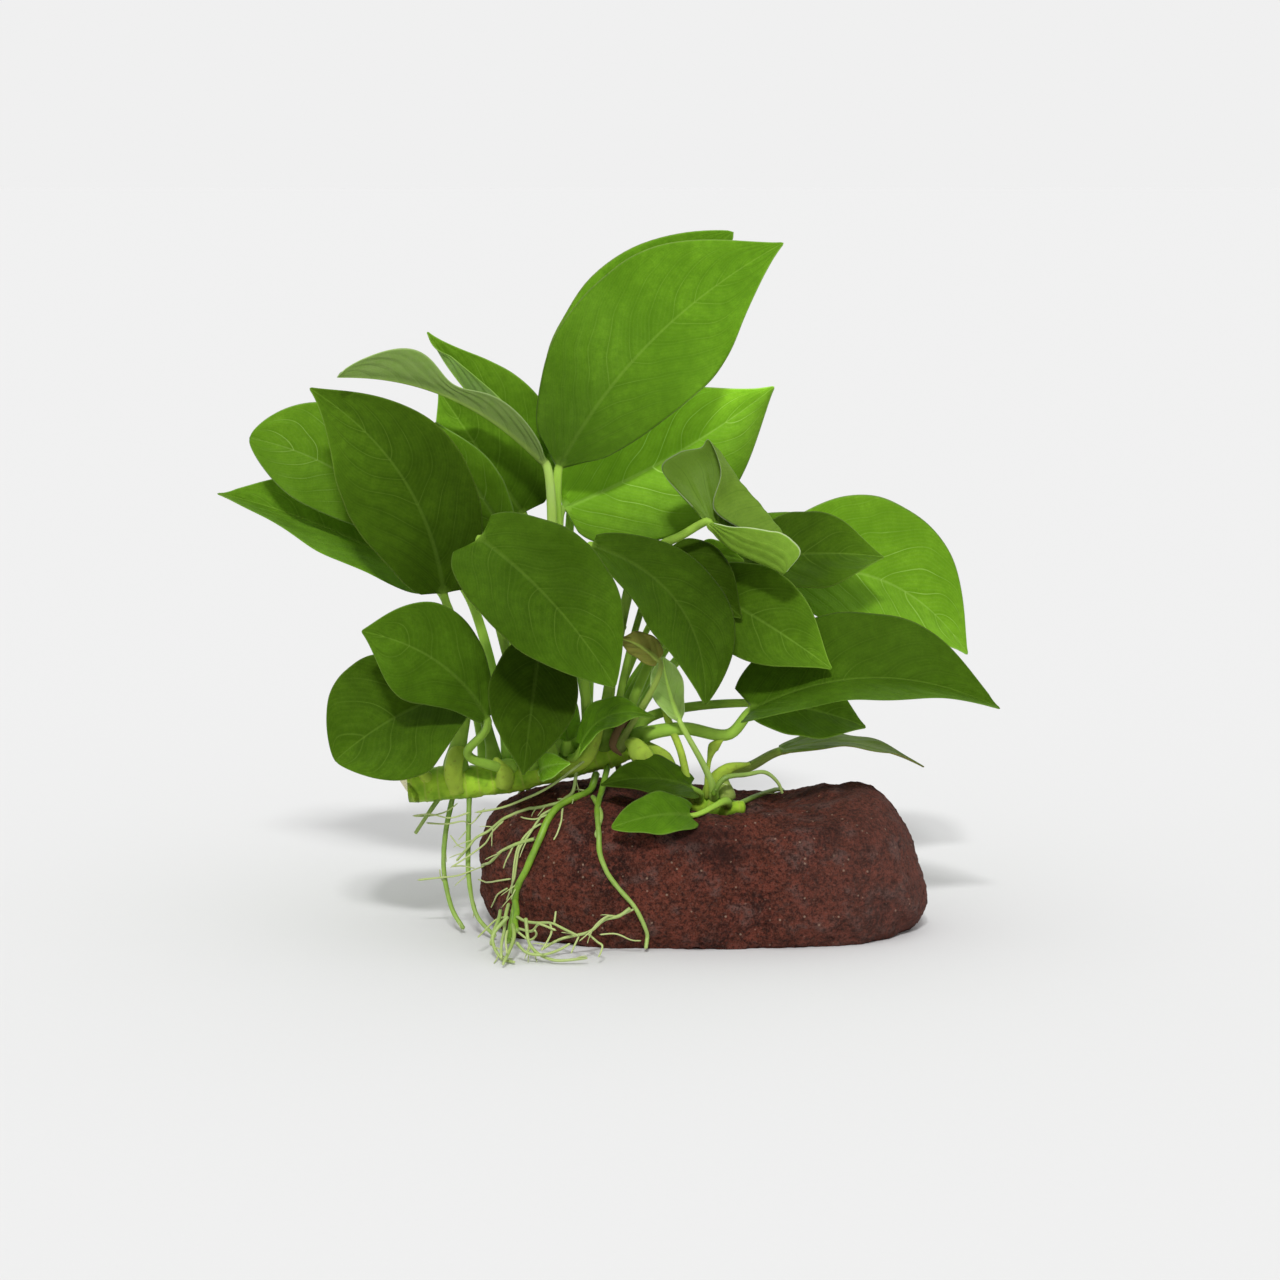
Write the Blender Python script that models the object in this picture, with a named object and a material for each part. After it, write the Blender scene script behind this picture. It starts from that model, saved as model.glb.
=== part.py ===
"""An anubias grown fast to a piece of lava stone, built from its separate pieces.

The stone stands on its flat underside, with the origin in the middle of that face. +X is the plant's
right, +Y is its back and +Z is up. The creeping rhizome lies over the stone and overhangs its left end,
and a side shoot dips into the hollow in the stone's top. Each leaf grew as one piece, stalk and blade.
The roots hang from the rhizome, cling to the stone or lie on what the stone stands on.

Lengths are in millimetres and angles in degrees, until a mesh is made.
"""

import math
from dataclasses import dataclass

import bmesh
import bpy
from mathutils import Vector, noise
from mathutils.bvhtree import BVHTree

MM = 0.001
GAP = 0.3  # left between pieces that touch

# Stone: half length, half depth, height of its widest level, and reach above and below that level.
STONE_HALF_LENGTH = 61.0
STONE_HALF_DEPTH = 32.5
STONE_WAIST = 16.0
STONE_RISE = 20.5
STONE_DROP = 21.5
STONE_PLAN_POWER = 2.5  # 2 is an ellipse seen from above, more is boxier
STONE_SIDE_POWER = 3.8  # the same, seen from the side
STONE_LUMPS = ((17.0, 1.7), (7.5, 0.8))  # spacing and height of its coarse and finer lumps
STONE_SEED = Vector((3.7, 9.1, 5.3))
STONE_SUBDIVISIONS = 4
STONE_LEAN = (9.0, 0.25)  # above this height, the stone's right side leans in by this much a millimetre

# Swellings (+) and the hollow (-) on the stone's top: middle x, y, spread x, y, height.
STONE_TOP = (
    (-36.0, 0.0, 17.0, 22.0, 4.2),
    (48.0, 3.0, 14.0, 20.0, 4.6),
    (17.0, 12.0, 17.0, 24.0, -2.6),
    (6.0, -4.0, 17.0, 10.0, -6.2),
)

LEAF_THICKNESS = 0.8
FOLD_REACH = 2.5  # where a blade is narrower than this to each side, it folds less
MARGIN_SPAN = 0.35  # half width of the blunt last ring of a blade
RIB_DEPTH = 0.7  # how far the midrib stands proud underneath, next to the stalk

# Stations along a blade, from its base to its tip, and along a stalk, from the rhizome to the blade.
BLADE_STATIONS = (0.03, 0.12, 0.26, 0.42, 0.58, 0.74, 0.88, 1.0)
SMALL_BLADE_STATIONS = (0.04, 0.2, 0.42, 0.64, 0.84, 1.0)
STALK_STATIONS = (0.0, 0.25, 0.5, 0.74, 0.92)
SMALL_STALK_STATIONS = (0.0, 0.35, 0.7, 0.92)

# A ring round a leaf: place across the blade (-1 to 1) and side (1 upper, 0 margin, -1 under).
LEAF_RING = ((-1.0, 0), (-0.5, 1), (0.0, 1), (0.5, 1), (1.0, 0), (0.5, -1), (0.0, -1), (-0.5, -1))


@dataclass
class Rhizome:
    """A creeping stem: the points that it runs through, with its radius at each."""

    name: str
    route: tuple
    radii: tuple
    cut: tuple = (0.0, 0.0)  # how far its old end is cut off the square: slopes upwards and backwards


@dataclass
class Leaf:
    """A leaf, stalk and blade. The blade's left is at -1 when its upper side is looked at, tip up."""

    name: str
    tone: str
    foot: tuple  # rhizome's name, how far along it (0 to 1), and angle round it from the top to the front
    base: tuple  # where stalk and blade meet
    tip: tuple
    face: tuple  # the way that the upper side looks
    width: float
    arch: float = 3.0  # how far the middle of the midrib bows to the upper side
    sway: float = 0.0  # how far it bows to the right
    fold: tuple = (12.0, 12.0)  # how steeply the left and right halves rise from the midrib
    start_fold: tuple = None  # the same next to the stalk, where that differs
    settle: float = 0.22  # how soon the first fold gives way to the other
    flare: tuple = (1.0, 1.0)  # how much wider each half starts than it goes on
    curl: tuple = (0.0, 0.0)  # how far each half bends on, up to its margin
    twist: float = 0.0
    belly: float = 0.38  # where the blade is widest
    lobe: tuple = (4.0, 4.0)  # how far back the lobes beside the stalk reach
    halves: tuple = (1.0, 1.0)  # how wide the left and right halves are for that width
    blunt: float = 0.0  # 0 is a pointed tip, 1 a round one
    ripple: float = 0.6
    stalk: float = 1.25  # mean radius of the stalk
    via: tuple = ()  # points that the stalk passes through
    bend: float = 16.0  # how gently the stalk turns into the blade
    net: tuple = ()  # a rolled blade's own points: rows from its base to its tip, five across each
    small: bool = False


@dataclass
class Root:
    """A root: its points, whether it clings to the stone there, and its radius at both ends."""

    name: str
    route: tuple  # x, y, z and 1 where it clings to the stone, 0 where it is free
    radii: tuple
    sides: int = 6
    steps: int = 10


RHIZOMES = (
    Rhizome(
        "rhizome_main",
        ((-80.5, -6, 39.8), (-69, -6, 40.4), (-58, -5.5, 41.4), (-47, -5, 43.2), (-36, -4, 45.8),
         (-26, -3, 48), (-16, -2, 51)),
        (4.5, 4.6, 4.3, 4.1, 4.0, 3.9, 2.6),
        cut=(0.55, 0.4),
    ),
    Rhizome(
        "rhizome_side",
        ((-17, -4, 44.0), (-11, -6, 39.6), (-4, -7, 35.6), (4, -7, 33.9), (11, -6, 33.6)),
        (2.6, 2.9, 3.0, 2.9, 2.0),
    ),
)

LEAVES = (
    # Upright leaves at the top.
    Leaf("leaf_top", "fresh", ("rhizome_main", 0.70, 0), (-39, -5, 126), (21, 7, 185), (-0.25, -0.93, 0.25),
         45, arch=-4, sway=-8, fold=(8, 8), belly=0.48, lobe=(1, 1), halves=(1, 0.93), ripple=1.2,
         stalk=1.35),
    Leaf("leaf_top_back", "fresh", ("rhizome_main", 0.66, -55), (-35, 13, 125), (8, 23, 187.5),
         (-0.2, -0.9, 0.4), 40, arch=-3, sway=-8, belly=0.48, lobe=(1, 1), blunt=0.5, small=True),
    Leaf("leaf_bright", "bright", ("rhizome_main", 0.78, 0), (-38, 4, 114), (19, 15, 146), (0.1, -0.9, 0.4),
         40, arch=-2, sway=2, fold=(35, 0), belly=0.42, ripple=1.0),
    Leaf("leaf_long_curved", "pale", ("rhizome_main", 0.62, 5), (-42.5, -16, 128), (-96, -29, 151.5),
         (-0.1, 0.5, 0.85), 20, arch=8, fold=(28, 48), belly=0.7, lobe=(1, 1), blunt=0.7, stalk=1.35),
    Leaf("leaf_upper_left", "mid", ("rhizome_main", 0.54, -55), (-42, 9, 127), (-75, 11, 161),
         (-0.1, -0.95, 0.2), 25, fold=(105, 5), start_fold=(20, 5), sway=-3, lobe=(1, 3), halves=(0.45, 1.0)),
    Leaf("leaf_tucked_left", "mid", ("rhizome_main", 0.54, 0), (-49, 1, 113), (-71.5, 3, 146),
         (-0.1, -0.95, 0.2), 28, ripple=0.4, small=True),
    Leaf("leaf_narrow_left", "bright", ("rhizome_main", 0.46, 0), (-55, -7, 111), (-72, -6, 138),
         (0, -1, 0.1), 15, stalk=1.0, small=True),
    # Leaves to the left.
    Leaf("leaf_left_big", "dark", ("rhizome_main", 0.36, -10), (-69.5, -16, 93.5), (-104, -20, 148),
         (-0.15, -0.95, 0.15), 35, arch=2, sway=8, belly=0.45),
    Leaf("leaf_left_bright", "bright", ("rhizome_main", 0.42, -55), (-77, 0, 105), (-122.5, 3, 133),
         (-0.1, -0.9, 0.4), 31, sway=4.5, belly=0.58, lobe=(0, 0), halves=(0.86, 1.05), blunt=0.9,
         via=((-62.5, 0, 88),)),
    Leaf("leaf_left_long", "mid", ("rhizome_main", 0.32, -55), (-72, 2, 92), (-132, 8, 117.5),
         (-0.2, -0.15, 0.95), 34, arch=3.5, fold=(0, 56), lobe=(1, 1)),
    Leaf("leaf_left_front", "mid", ("rhizome_main", 0.42, 48), (-58, -25, 61.6), (-90, -34, 85.7),
         (-0.1, -0.9, 0.3), 27.5, sway=4.5, belly=0.6, via=((-57, -13, 46.5), (-63.5, -16, 50.5))),
    Leaf("leaf_left_round", "dark", ("rhizome_main", 0.20, 20), (-65.5, -17, 67.5), (-98, -26, 50),
         (-0.1, -0.85, 0.5), 42, sway=1, belly=0.54, halves=(0.95, 0.88), blunt=0.8, lobe=(5, 3), stalk=1.9),
    # Leaves at the front.
    Leaf("leaf_front_big", "mid", ("rhizome_main", 0.51, 52), (-59, -34, 110), (-24, -44, 72.5),
         (-0.1, -0.75, 0.65), 35, arch=4, sway=-1.5, belly=0.43, blunt=0.5, lobe=(5, 5)),
    Leaf("leaf_front_dark", "dark", ("rhizome_main", 0.59, 50), (-44, -26, 80), (-48, -36, 48),
         (0.05, -0.9, 0.4), 24, arch=2),
    Leaf("leaf_front_centre", "mid", ("rhizome_main", 0.75, 48), (-30, -24, 107), (-0.5, -38, 67),
         (0.3, -0.8, 0.5), 25, arch=3, sway=-9, belly=0.52, blunt=0.4),
    Leaf("leaf_front_right", "dark", ("rhizome_main", 0.93, 25), (0, -8, 93.5), (33.3, -19, 73.5),
         (0.1, -0.92, 0.35), 27, arch=3),
    Leaf("leaf_middle_dark", "dark", ("rhizome_main", 0.88, 35), (-10.5, -11.5, 104), (9.5, -18, 87),
         (0.1, -0.97, 0.2), 19, arch=1, fold=(3, 3), lobe=(1, 1), bend=10, stalk=0.9, small=True),
    Leaf("leaf_middle_small", "dark", ("rhizome_main", 0.875, 0), (-2.5, 2.5, 101.5), (10.5, -0.5, 100),
         (0, -0.9, 0.4), 8, lobe=(1, 1), stalk=0.8, small=True),
    Leaf("leaf_middle_olive", "olive", ("rhizome_main", 0.89, 72), (-12.5, -23, 76.5), (-23, -25, 82.5),
         (0.2, 0.95, 0.1), 8, lobe=(1, 1), stalk=0.8, small=True),
    # Leaves to the right.
    Leaf("leaf_rolled", "pale", ("rhizome_main", 0.82, 50), (0.6, -20.2, 112.9), (20.4, -25.2, 99.6), (0, -0.1, 1), 40,
         arch=0, bend=3, via=((-20, -13.5, 96), (-13, -16, 105.2), (-6.9, -18, 108.8)), net=(
             ((0, -18.6, 112.8), (0.3, -19.3, 112.9), (0.6, -20.2, 112.9), (1, -21.1, 113.1), (1.3, -21.8, 113.3)),
             ((-11.6, -15, 125.4), (-4.8, -16, 119), (1.6, -20.2, 112.3), (2, -23, 112.6), (2.9, -25.5, 113.2)),
             ((-7.5, -15, 130.5), (-2.2, -14.5, 122.3), (2.9, -20, 110.8), (4, -24, 111.3), (6, -27.5, 112.6)),
             ((-1.5, -14.5, 131.9), (1.3, -13, 122.7), (3.6, -19.5, 108.7), (6.6, -24.5, 109.8), (9.9, -28.5, 112.2)),
             ((0.6, -14, 133.7), (3.7, -12, 122.6), (5.4, -19.5, 106.9), (8.9, -25, 108.3), (13, -29, 112)),
             ((4.3, -13.5, 127.7), (6.4, -12, 118.3), (7.5, -20, 105.5), (11.6, -25.5, 107.3), (16.1, -29.5, 111.7)),
             ((10, -15, 120.7), (10.6, -13, 113.9), (10.1, -21, 104), (14.7, -26.5, 106.4), (19, -29.5, 111.2)),
             ((15, -17, 114.8), (14.8, -15.5, 109.6), (13, -22, 102.7), (17.5, -27, 104.8), (22, -29.5, 109.2)),
             ((19.6, -20, 109.1), (18.6, -19.5, 105.6), (16.9, -23.5, 101.1), (20.7, -27, 102.7), (24.4, -29, 105.3)),
             ((20.6, -24.4, 100.3), (20.5, -24.6, 100), (20.4, -25.2, 99.6), (20.7, -25.9, 100), (20.9, -26.5, 100.4)),
         )),
    Leaf("leaf_right_mid", "dark", ("rhizome_main", 0.90, -40), (10.5, 3.5, 99.5), (48.5, 5, 100.5),
         (0, -0.8, 0.6), 25, belly=0.45, lobe=(1, 1)),
    Leaf("leaf_right_sliver", "mid", ("rhizome_main", 0.84, -55), (9, 10, 98), (38, 14, 104.5),
         (0, -0.8, 0.6), 22, stalk=0.9, small=True),
    Leaf("leaf_right_back", "bright", ("rhizome_main", 0.96, -50), (23, 16, 95), (74, 32, 70),
         (-0.1, -0.8, 0.6), 46, arch=3, sway=-8.5, belly=0.42, lobe=(6, 6)),
    Leaf("leaf_right_long", "mid", ("rhizome_main", 0.97, 62), (12.5, -12, 61.3), (78, -20, 63),
         (0, -0.25, 0.97), 38, arch=9, fold=(52, 5), belly=0.42, lobe=(8, 8), stalk=1.75, bend=9,
         via=((-14, -12.5, 55.5), (-5, -13, 56.6), (6, -12, 54.8))),
    Leaf("leaf_right_under", "dark", ("rhizome_main", 0.98, -5), (14, -1, 61.5), (44, 4, 54),
         (-0.1, -0.8, 0.6), 20, small=True),
    Leaf("leaf_low_thin", "olive", ("rhizome_side", 0.80, 0), (20.5, 4, 47.5), (60.5, 10, 42),
         (0, -0.1, 1), 17, arch=4.5, fold=(5, 5), lobe=(2, 2), stalk=1.45, bend=10,
         via=((5, -5, 42.3), (12.5, -1, 44.3))),
    # Young leaves round the crown.
    Leaf("leaf_young_upright", "pale", ("rhizome_side", 0.68, 30), (-7, -18, 59.5), (-11.5, -20, 77),
         (-0.3, 0.95, 0.1), 10, lobe=(1, 1), stalk=0.8, small=True),
    Leaf("leaf_young_arched", "mid", ("rhizome_main", 0.67, 75), (-33, -17, 52.5), (-13.5, -18.5, 60.5),
         (-0.2, -0.5, 0.85), 14, arch=6, stalk=0.9, small=True),
    Leaf("leaf_young_dark", "dark", ("rhizome_side", 0.55, 55), (-4, -16, 41), (-28, -23, 43),
         (0, -0.6, 0.8), 15, stalk=0.8, small=True),
    Leaf("leaf_young_low", "fresh", ("rhizome_side", 0.80, 60), (-5, -27, 36.5), (-25, -39, 32),
         (0, -0.75, 0.65), 12, stalk=0.8, small=True),
    Leaf("leaf_young_left", "bright", ("rhizome_main", 0.56, 80), (-44, -14, 45), (-36, -18, 48),
         (0, -0.9, 0.4), 8, lobe=(1, 1), stalk=0.8, small=True),
    Leaf("leaf_young_curled", "pale", ("rhizome_side", 0.35, 20), (-10, -10, 45), (-20.5, -13, 46),
         (0, -0.6, 0.8), 8, arch=3, lobe=(1, 1), stalk=0.8, small=True),
    Leaf("leaf_young_sheath", "fresh", ("rhizome_main", 0.66, 35), (-37, -10.5, 53), (-38, -16.5, 71.5),
         (0.1, -0.95, 0.1), 8.5, arch=0, fold=(32, 32), lobe=(0, 0), stalk=1.1, bend=6, small=True),
    # Leaves at the back, which the rest hide from the front.
    Leaf("leaf_back_left", "mid", ("rhizome_main", 0.48, -100), (-60, 20, 98), (-92, 52, 116),
         (0, 0.35, 0.93), 34, arch=5, small=True),
    Leaf("leaf_back_right", "mid", ("rhizome_main", 0.86, -100), (0, 22, 89), (30, 58, 90),
         (0, 0.4, 0.9), 34, arch=5, small=True),
    Leaf("leaf_back_high", "fresh", ("rhizome_main", 0.74, -100), (-28, 24, 114), (-14, 58, 138),
         (0.1, 0.1, 0.98), 34, arch=5, small=True),
    Leaf("leaf_back_low", "dark", ("rhizome_main", 0.60, -100), (-34, 26, 74), (-40, 62, 62),
         (0, 0.4, 0.9), 30, arch=5, small=True),
)

ROOTS = (
    # From the overhanging end of the rhizome, hanging free.
    Root("root_left_long", ((-68, -6, 35.4, 0), (-70, -7, 27, 0), (-70.5, -8, 17, 0), (-68.5, -9, 7, 0),
                            (-65, -11, 1.2, 0)), (0.75, 0.6), steps=8),
    Root("root_left_inner", ((-63.5, -7, 36.2, 0), (-63.7, -10, 27, 0), (-63.6, -12, 16, 0),
                             (-61.5, -14, 6, 0), (-56, -20, 1.1, 0)), (0.75, 0.55), steps=8),
    Root("root_left_short", ((-72, -8, 35.6, 0), (-75, -10, 32, 0), (-78, -11, 27.5, 0)), (0.7, 0.5),
         steps=4),
    # Down the front of the stone.
    Root("root_front_broad", ((-29.5, -8.5, 42.8, 0), (-32, -12.8, 37.9, 1), (-38.8, -18.1, 35.6, 1),
                              (-43.7, -24.1, 28.5, 1), (-46.7, -24.6, 21.5, 1), (-50, -22.3, 13.8, 1),
                              (-51.5, -25, 7, 0), (-52.5, -30, 1.5, 0)), (1.2, 0.8), steps=14),
    Root("root_front_side", ((-46.5, -24.2, 28.4, 1), (-50.5, -21.4, 26.6, 1), (-54.3, -19.2, 24.3, 1),
                             (-57.1, -16, 20.9, 1), (-59.8, -8.2, 18.4, 1)), (0.6, 0.4), sides=5, steps=7),
    Root("root_front_thin", ((-26.5, -8.5, 44.5, 0), (-28.7, -19.4, 36.4, 1), (-28.3, -28, 30.5, 1),
                             (-27.8, -29.8, 25, 1), (-24.4, -30.9, 18.5, 1), (-18.6, -32.4, 11.8, 1),
                             (-15.7, -31.9, 5.5, 1), (-16, -33.8, 0.9, 0)), (1.0, 0.55), steps=14),
    Root("root_front_branch", ((-20, -35.5, 12.5, 0), (-23, -37, 10.7, 0), (-27, -38, 9.8, 0),
                               (-31, -39, 6.8, 0), (-38, -41, 5.5, 0), (-43.5, -43, 3.0, 0)),
         (0.55, 0.35), sides=5, steps=10),
    Root("root_over_left", ((-33, -8, 47.8, 0), (-37, -15, 44, 1), (-43, -18, 42, 1), (-50, -17, 39, 1),
                            (-58, -14, 32, 1), (-63, -13, 25, 0), (-67, -11, 20, 0)),
         (0.5, 0.35), sides=5, steps=12),
    # Spread on what the stone stands on.
    Root("root_floor_left", ((-52, -38.5, 11, 0), (-56, -41, 6, 0), (-54, -43, 1, 0), (-50, -48, 0.8, 0)),
         (0.55, 0.35), sides=5, steps=7),
    Root("root_floor_middle", ((-47.5, -38, 10.5, 0), (-46, -43, 4, 0), (-40, -47, 1.2, 0), (-31, -48, 2, 0)),
         (0.5, 0.35), sides=5, steps=7),
    # Behind the right of the crown, and down the back of the stone.
    Root("root_right", ((2, -11.5, 38, 0), (5, -13, 43, 0), (11, -10, 43.5, 0), (16, -8, 43.8, 0),
                        (19.5, -7, 41, 0), (21, -6, 37.5, 0)), (0.8, 0.4), sides=5, steps=9),
    Root("root_back_left", ((-50, 1.5, 41, 0), (-52, 14, 38, 1), (-55, 24, 30, 1), (-54, 29, 18, 1),
                            (-50, 33, 6, 1), (-48, 37, 1.2, 0)), (0.85, 0.5), steps=9),
    Root("root_back_middle", ((-24, 3, 43, 0), (-21, 14, 38, 1), (-16, 28, 33.5, 0), (-14, 33, 20, 1),
                              (-20, 34, 8, 1), (-24, 38, 1.1, 0)), (1.0, 0.55), sides=5, steps=14),
    Root("root_back_right", ((6, -2, 33, 1), (14, 10, 33, 1), (22, 24, 30, 1), (24, 32, 18, 1),
                             (20, 35, 8, 1)), (0.8, 0.4), sides=5, steps=16),
)

# Leaf tones, rhizome, root and stone: sRGB colour and roughness.
FINISHES = {
    "dark": ("3F6A17", 0.45),
    "mid": ("54801F", 0.45),
    "fresh": ("6FA526", 0.45),
    "bright": ("86BC2E", 0.45),
    "pale": ("8FA862", 0.5),
    "olive": ("6B7E35", 0.5),
    "rhizome": ("9CC13E", 0.55),
    "root": ("A9C84A", 0.6),
    "stone": ("4A2B25", 0.95),
}


def linear(channel):
    """An sRGB channel from 0 to 1, as linear light."""
    return channel / 12.92 if channel <= 0.04045 else ((channel + 0.055) / 1.055) ** 2.4


def make_material(name, finish):
    """A Principled material from one of FINISHES."""
    colour, roughness = FINISHES[finish]
    material = bpy.data.materials.new(name)
    material.use_nodes = True
    shader = material.node_tree.nodes["Principled BSDF"]
    channels = [linear(int(colour[i:i + 2], 16) / 255) for i in (0, 2, 4)]
    shader.inputs["Base Color"].default_value = (*channels, 1.0)
    shader.inputs["Roughness"].default_value = roughness
    shader.inputs["Metallic"].default_value = 0.0
    return material


def make_object(name, bm, finish):
    """Turns a bmesh in millimetres into an object in metres, its bent quads split, shaded smooth."""
    bmesh.ops.triangulate(bm, faces=[f for f in bm.faces if len(f.verts) == 4])
    bmesh.ops.recalc_face_normals(bm, faces=bm.faces)
    bmesh.ops.scale(bm, vec=(MM, MM, MM), verts=bm.verts)
    mesh = bpy.data.meshes.new(name)
    bm.to_mesh(mesh)
    bm.free()
    mesh.shade_smooth()
    mesh.materials.append(make_material(name, finish))
    made = bpy.data.objects.new(name, mesh)
    bpy.context.scene.collection.objects.link(made)
    return made


def extrude_ring(bm, ring):
    """Extrudes a closed ring of vertices and returns the new ring in the same order."""
    edges = [bm.edges.get(pair) for pair in zip(ring, ring[1:] + ring[:1])]
    out = bmesh.ops.extrude_edge_only(bm, edges=edges)["geom"]
    made = {v for v in out if isinstance(v, bmesh.types.BMVert)}
    return [next(e.other_vert(v) for e in v.link_edges if e.other_vert(v) in made) for v in ring]


def loft(rings):
    """A closed body through a list of rings of points, each with as many points as the others."""
    bm = bmesh.new()
    ring = bmesh.ops.create_circle(bm, cap_ends=True, segments=len(rings[0]), radius=1.0)["verts"]
    for vert, point in zip(ring, rings[0]):
        vert.co = point
    for points in rings[1:]:
        ring = extrude_ring(bm, ring)
        for vert, point in zip(ring, points):
            vert.co = point
    bmesh.ops.contextual_create(bm, geom=[bm.edges.get(pair) for pair in zip(ring, ring[1:] + ring[:1])])
    return bm


def hermite(p0, p1, m0, m1, t):
    """A point on the cubic from p0 to p1 with end tangents m0 and m1."""
    a = 2 * t ** 3 - 3 * t ** 2 + 1
    b = t ** 3 - 2 * t ** 2 + t
    return a * p0 + b * m0 + (1 - a) * p1 + (t ** 3 - t ** 2) * m1


def route_point(points, t, first=None, last=None):
    """A point at t (0 to 1) on a smooth curve through points, with the end tangents where they are given."""
    spans = len(points) - 1
    k = min(int(t * spans), spans - 1)
    tangents = []
    for i in (k, k + 1):
        if i == 0:
            tangents.append(first if first is not None else points[1] - points[0])
        elif i == spans:
            tangents.append(last if last is not None else points[-1] - points[-2])
        else:
            tangents.append((points[i + 1] - points[i - 1]) / 2)
    return hermite(points[k], points[k + 1], tangents[0], tangents[1], t * spans - k)


def mixed(values, t):
    """A value at t (0 to 1) in a list of evenly spaced values."""
    x = t * (len(values) - 1)
    k = min(int(x), len(values) - 2)
    return values[k] + (values[k + 1] - values[k]) * (x - k)


def turned(vector, old, new):
    """A vector carried along as direction old turns to direction new the shortest way."""
    return old.rotation_difference(new) @ vector


def tube_rings(points, radii, sides):
    """Rings of points round a line of points, carried along it without twist."""
    rings = []
    last = len(points) - 1
    before = (points[1] - points[0]).normalized()
    side = before.orthogonal().normalized()
    for i, (point, radius) in enumerate(zip(points, radii)):
        along = (points[min(i + 1, last)] - points[max(i - 1, 0)]).normalized()
        side = turned(side, before, along)
        before = along
        up = along.cross(side)
        angles = [2 * math.pi * k / sides for k in range(sides)]
        rings.append([point + radius * (math.cos(a) * side + math.sin(a) * up) for a in angles])
    return rings


def stone_point(way):
    """The point of the stone's skin that lies in a direction from its middle."""
    plan = (abs(way.x) ** STONE_PLAN_POWER + abs(way.y) ** STONE_PLAN_POWER) ** (1 / STONE_PLAN_POWER)
    reach = (plan ** STONE_SIDE_POWER + abs(way.z) ** STONE_SIDE_POWER) ** (-1 / STONE_SIDE_POWER)
    unit = way * reach
    height = STONE_RISE if unit.z > 0 else STONE_DROP
    point = Vector((unit.x * STONE_HALF_LENGTH, unit.y * STONE_HALF_DEPTH, STONE_WAIST + unit.z * height))
    out = Vector((unit.x / STONE_HALF_LENGTH, unit.y / STONE_HALF_DEPTH, unit.z / height)).normalized()
    for spacing, size in STONE_LUMPS:
        point += out * size * noise.noise(point / spacing + STONE_SEED)
    top = min(max(unit.z, 0.0) * 1.4, 1.0)
    for x, y, spread_x, spread_y, rise in STONE_TOP:
        far = ((point.x - x) / spread_x) ** 2 + ((point.y - y) / spread_y) ** 2
        point.z += top * rise * math.exp(-far)
    start, lean = STONE_LEAN
    point.x -= max(point.z - start, 0.0) * lean * max(unit.x, 0.0) ** 1.5
    return point


def build_stone():
    """The stone, cut flat where it stands. Returns its object and a tree that finds its skin."""
    bm = bmesh.new()
    bmesh.ops.create_icosphere(bm, subdivisions=STONE_SUBDIVISIONS, radius=1.0)
    for vert in bm.verts:
        vert.co = stone_point(vert.co.normalized())
    everything = bm.verts[:] + bm.edges[:] + bm.faces[:]
    cut = bmesh.ops.bisect_plane(bm, geom=everything, plane_co=(0, 0, 0), plane_no=(0, 0, -1),
                                 clear_outer=True)
    rim = [e for e in cut["geom_cut"] if isinstance(e, bmesh.types.BMEdge)]
    bmesh.ops.contextual_create(bm, geom=rim)
    skin = BVHTree.FromBMesh(bm)
    return make_object("stone", bm, "stone"), skin


def build_rhizome(rhizome):
    """A rhizome, ringed by the scars of old leaves."""
    points = [Vector(p) for p in rhizome.route]
    steps = 3 * (len(points) - 1)
    line = [route_point(points, i / steps) for i in range(steps + 1)]
    radii = [mixed(rhizome.radii, i / steps) * (1.0 if i % 3 else 0.95) for i in range(steps + 1)]
    rings = tube_rings(line, radii, 8)
    for point in rings[0]:
        point.x -= (point.z - line[0].z) * rhizome.cut[0] + (point.y - line[0].y) * rhizome.cut[1]
    return make_object(rhizome.name, loft(rings), "rhizome")


def foot_place(foot):
    """Where a stalk or root leaves its rhizome, and the way that it sets out."""
    name, along, angle = foot
    rhizome = next(r for r in RHIZOMES if r.name == name)
    points = [Vector(p) for p in rhizome.route]
    centre = route_point(points, along)
    later = route_point(points, min(along + 0.02, 1))
    ahead = (later - route_point(points, max(along - 0.02, 0))).normalized()
    front = Vector((0, -1, 0))
    front = (front - ahead * front.dot(ahead)).normalized()
    up = front.cross(ahead)
    if up.z < 0:
        up = -up
    way = math.cos(math.radians(angle)) * up + math.sin(math.radians(angle)) * front
    return centre + way * (mixed(rhizome.radii, along) + GAP), way


def blade_frame(leaf, s):
    """The midrib's place at s (0 at the stalk, 1 at the tip) and the blade's side, along and upper ways."""
    base, tip = Vector(leaf.base), Vector(leaf.tip)
    chord = (tip - base).normalized()
    up = Vector(leaf.face)
    up = (up - chord * up.dot(chord)).normalized()
    side = chord.cross(up)
    middle = (base + tip) / 2 + 2 * (leaf.arch * up + leaf.sway * side)
    place = (1 - s) ** 2 * base + 2 * s * (1 - s) * middle + s ** 2 * tip
    along = ((1 - s) * (middle - base) + s * (tip - middle)).normalized()
    up = turned(up, chord, along)
    side = along.cross(up)
    angle = math.radians(leaf.twist * (s - 0.5))
    turned_up = math.cos(angle) * up + math.sin(angle) * side
    return place, along.cross(turned_up), along, turned_up


def blade_reach(leaf, s):
    """Half of the blade's width at s."""
    bulge = math.sin(math.pi * min(s, 1.0) ** (math.log(0.5) / math.log(leaf.belly)))
    power = 0.55 + (0.6 - 0.5 * leaf.blunt) * s
    return MARGIN_SPAN + (leaf.width / 2 - MARGIN_SPAN) * max(bulge, 0.0) ** power


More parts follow.
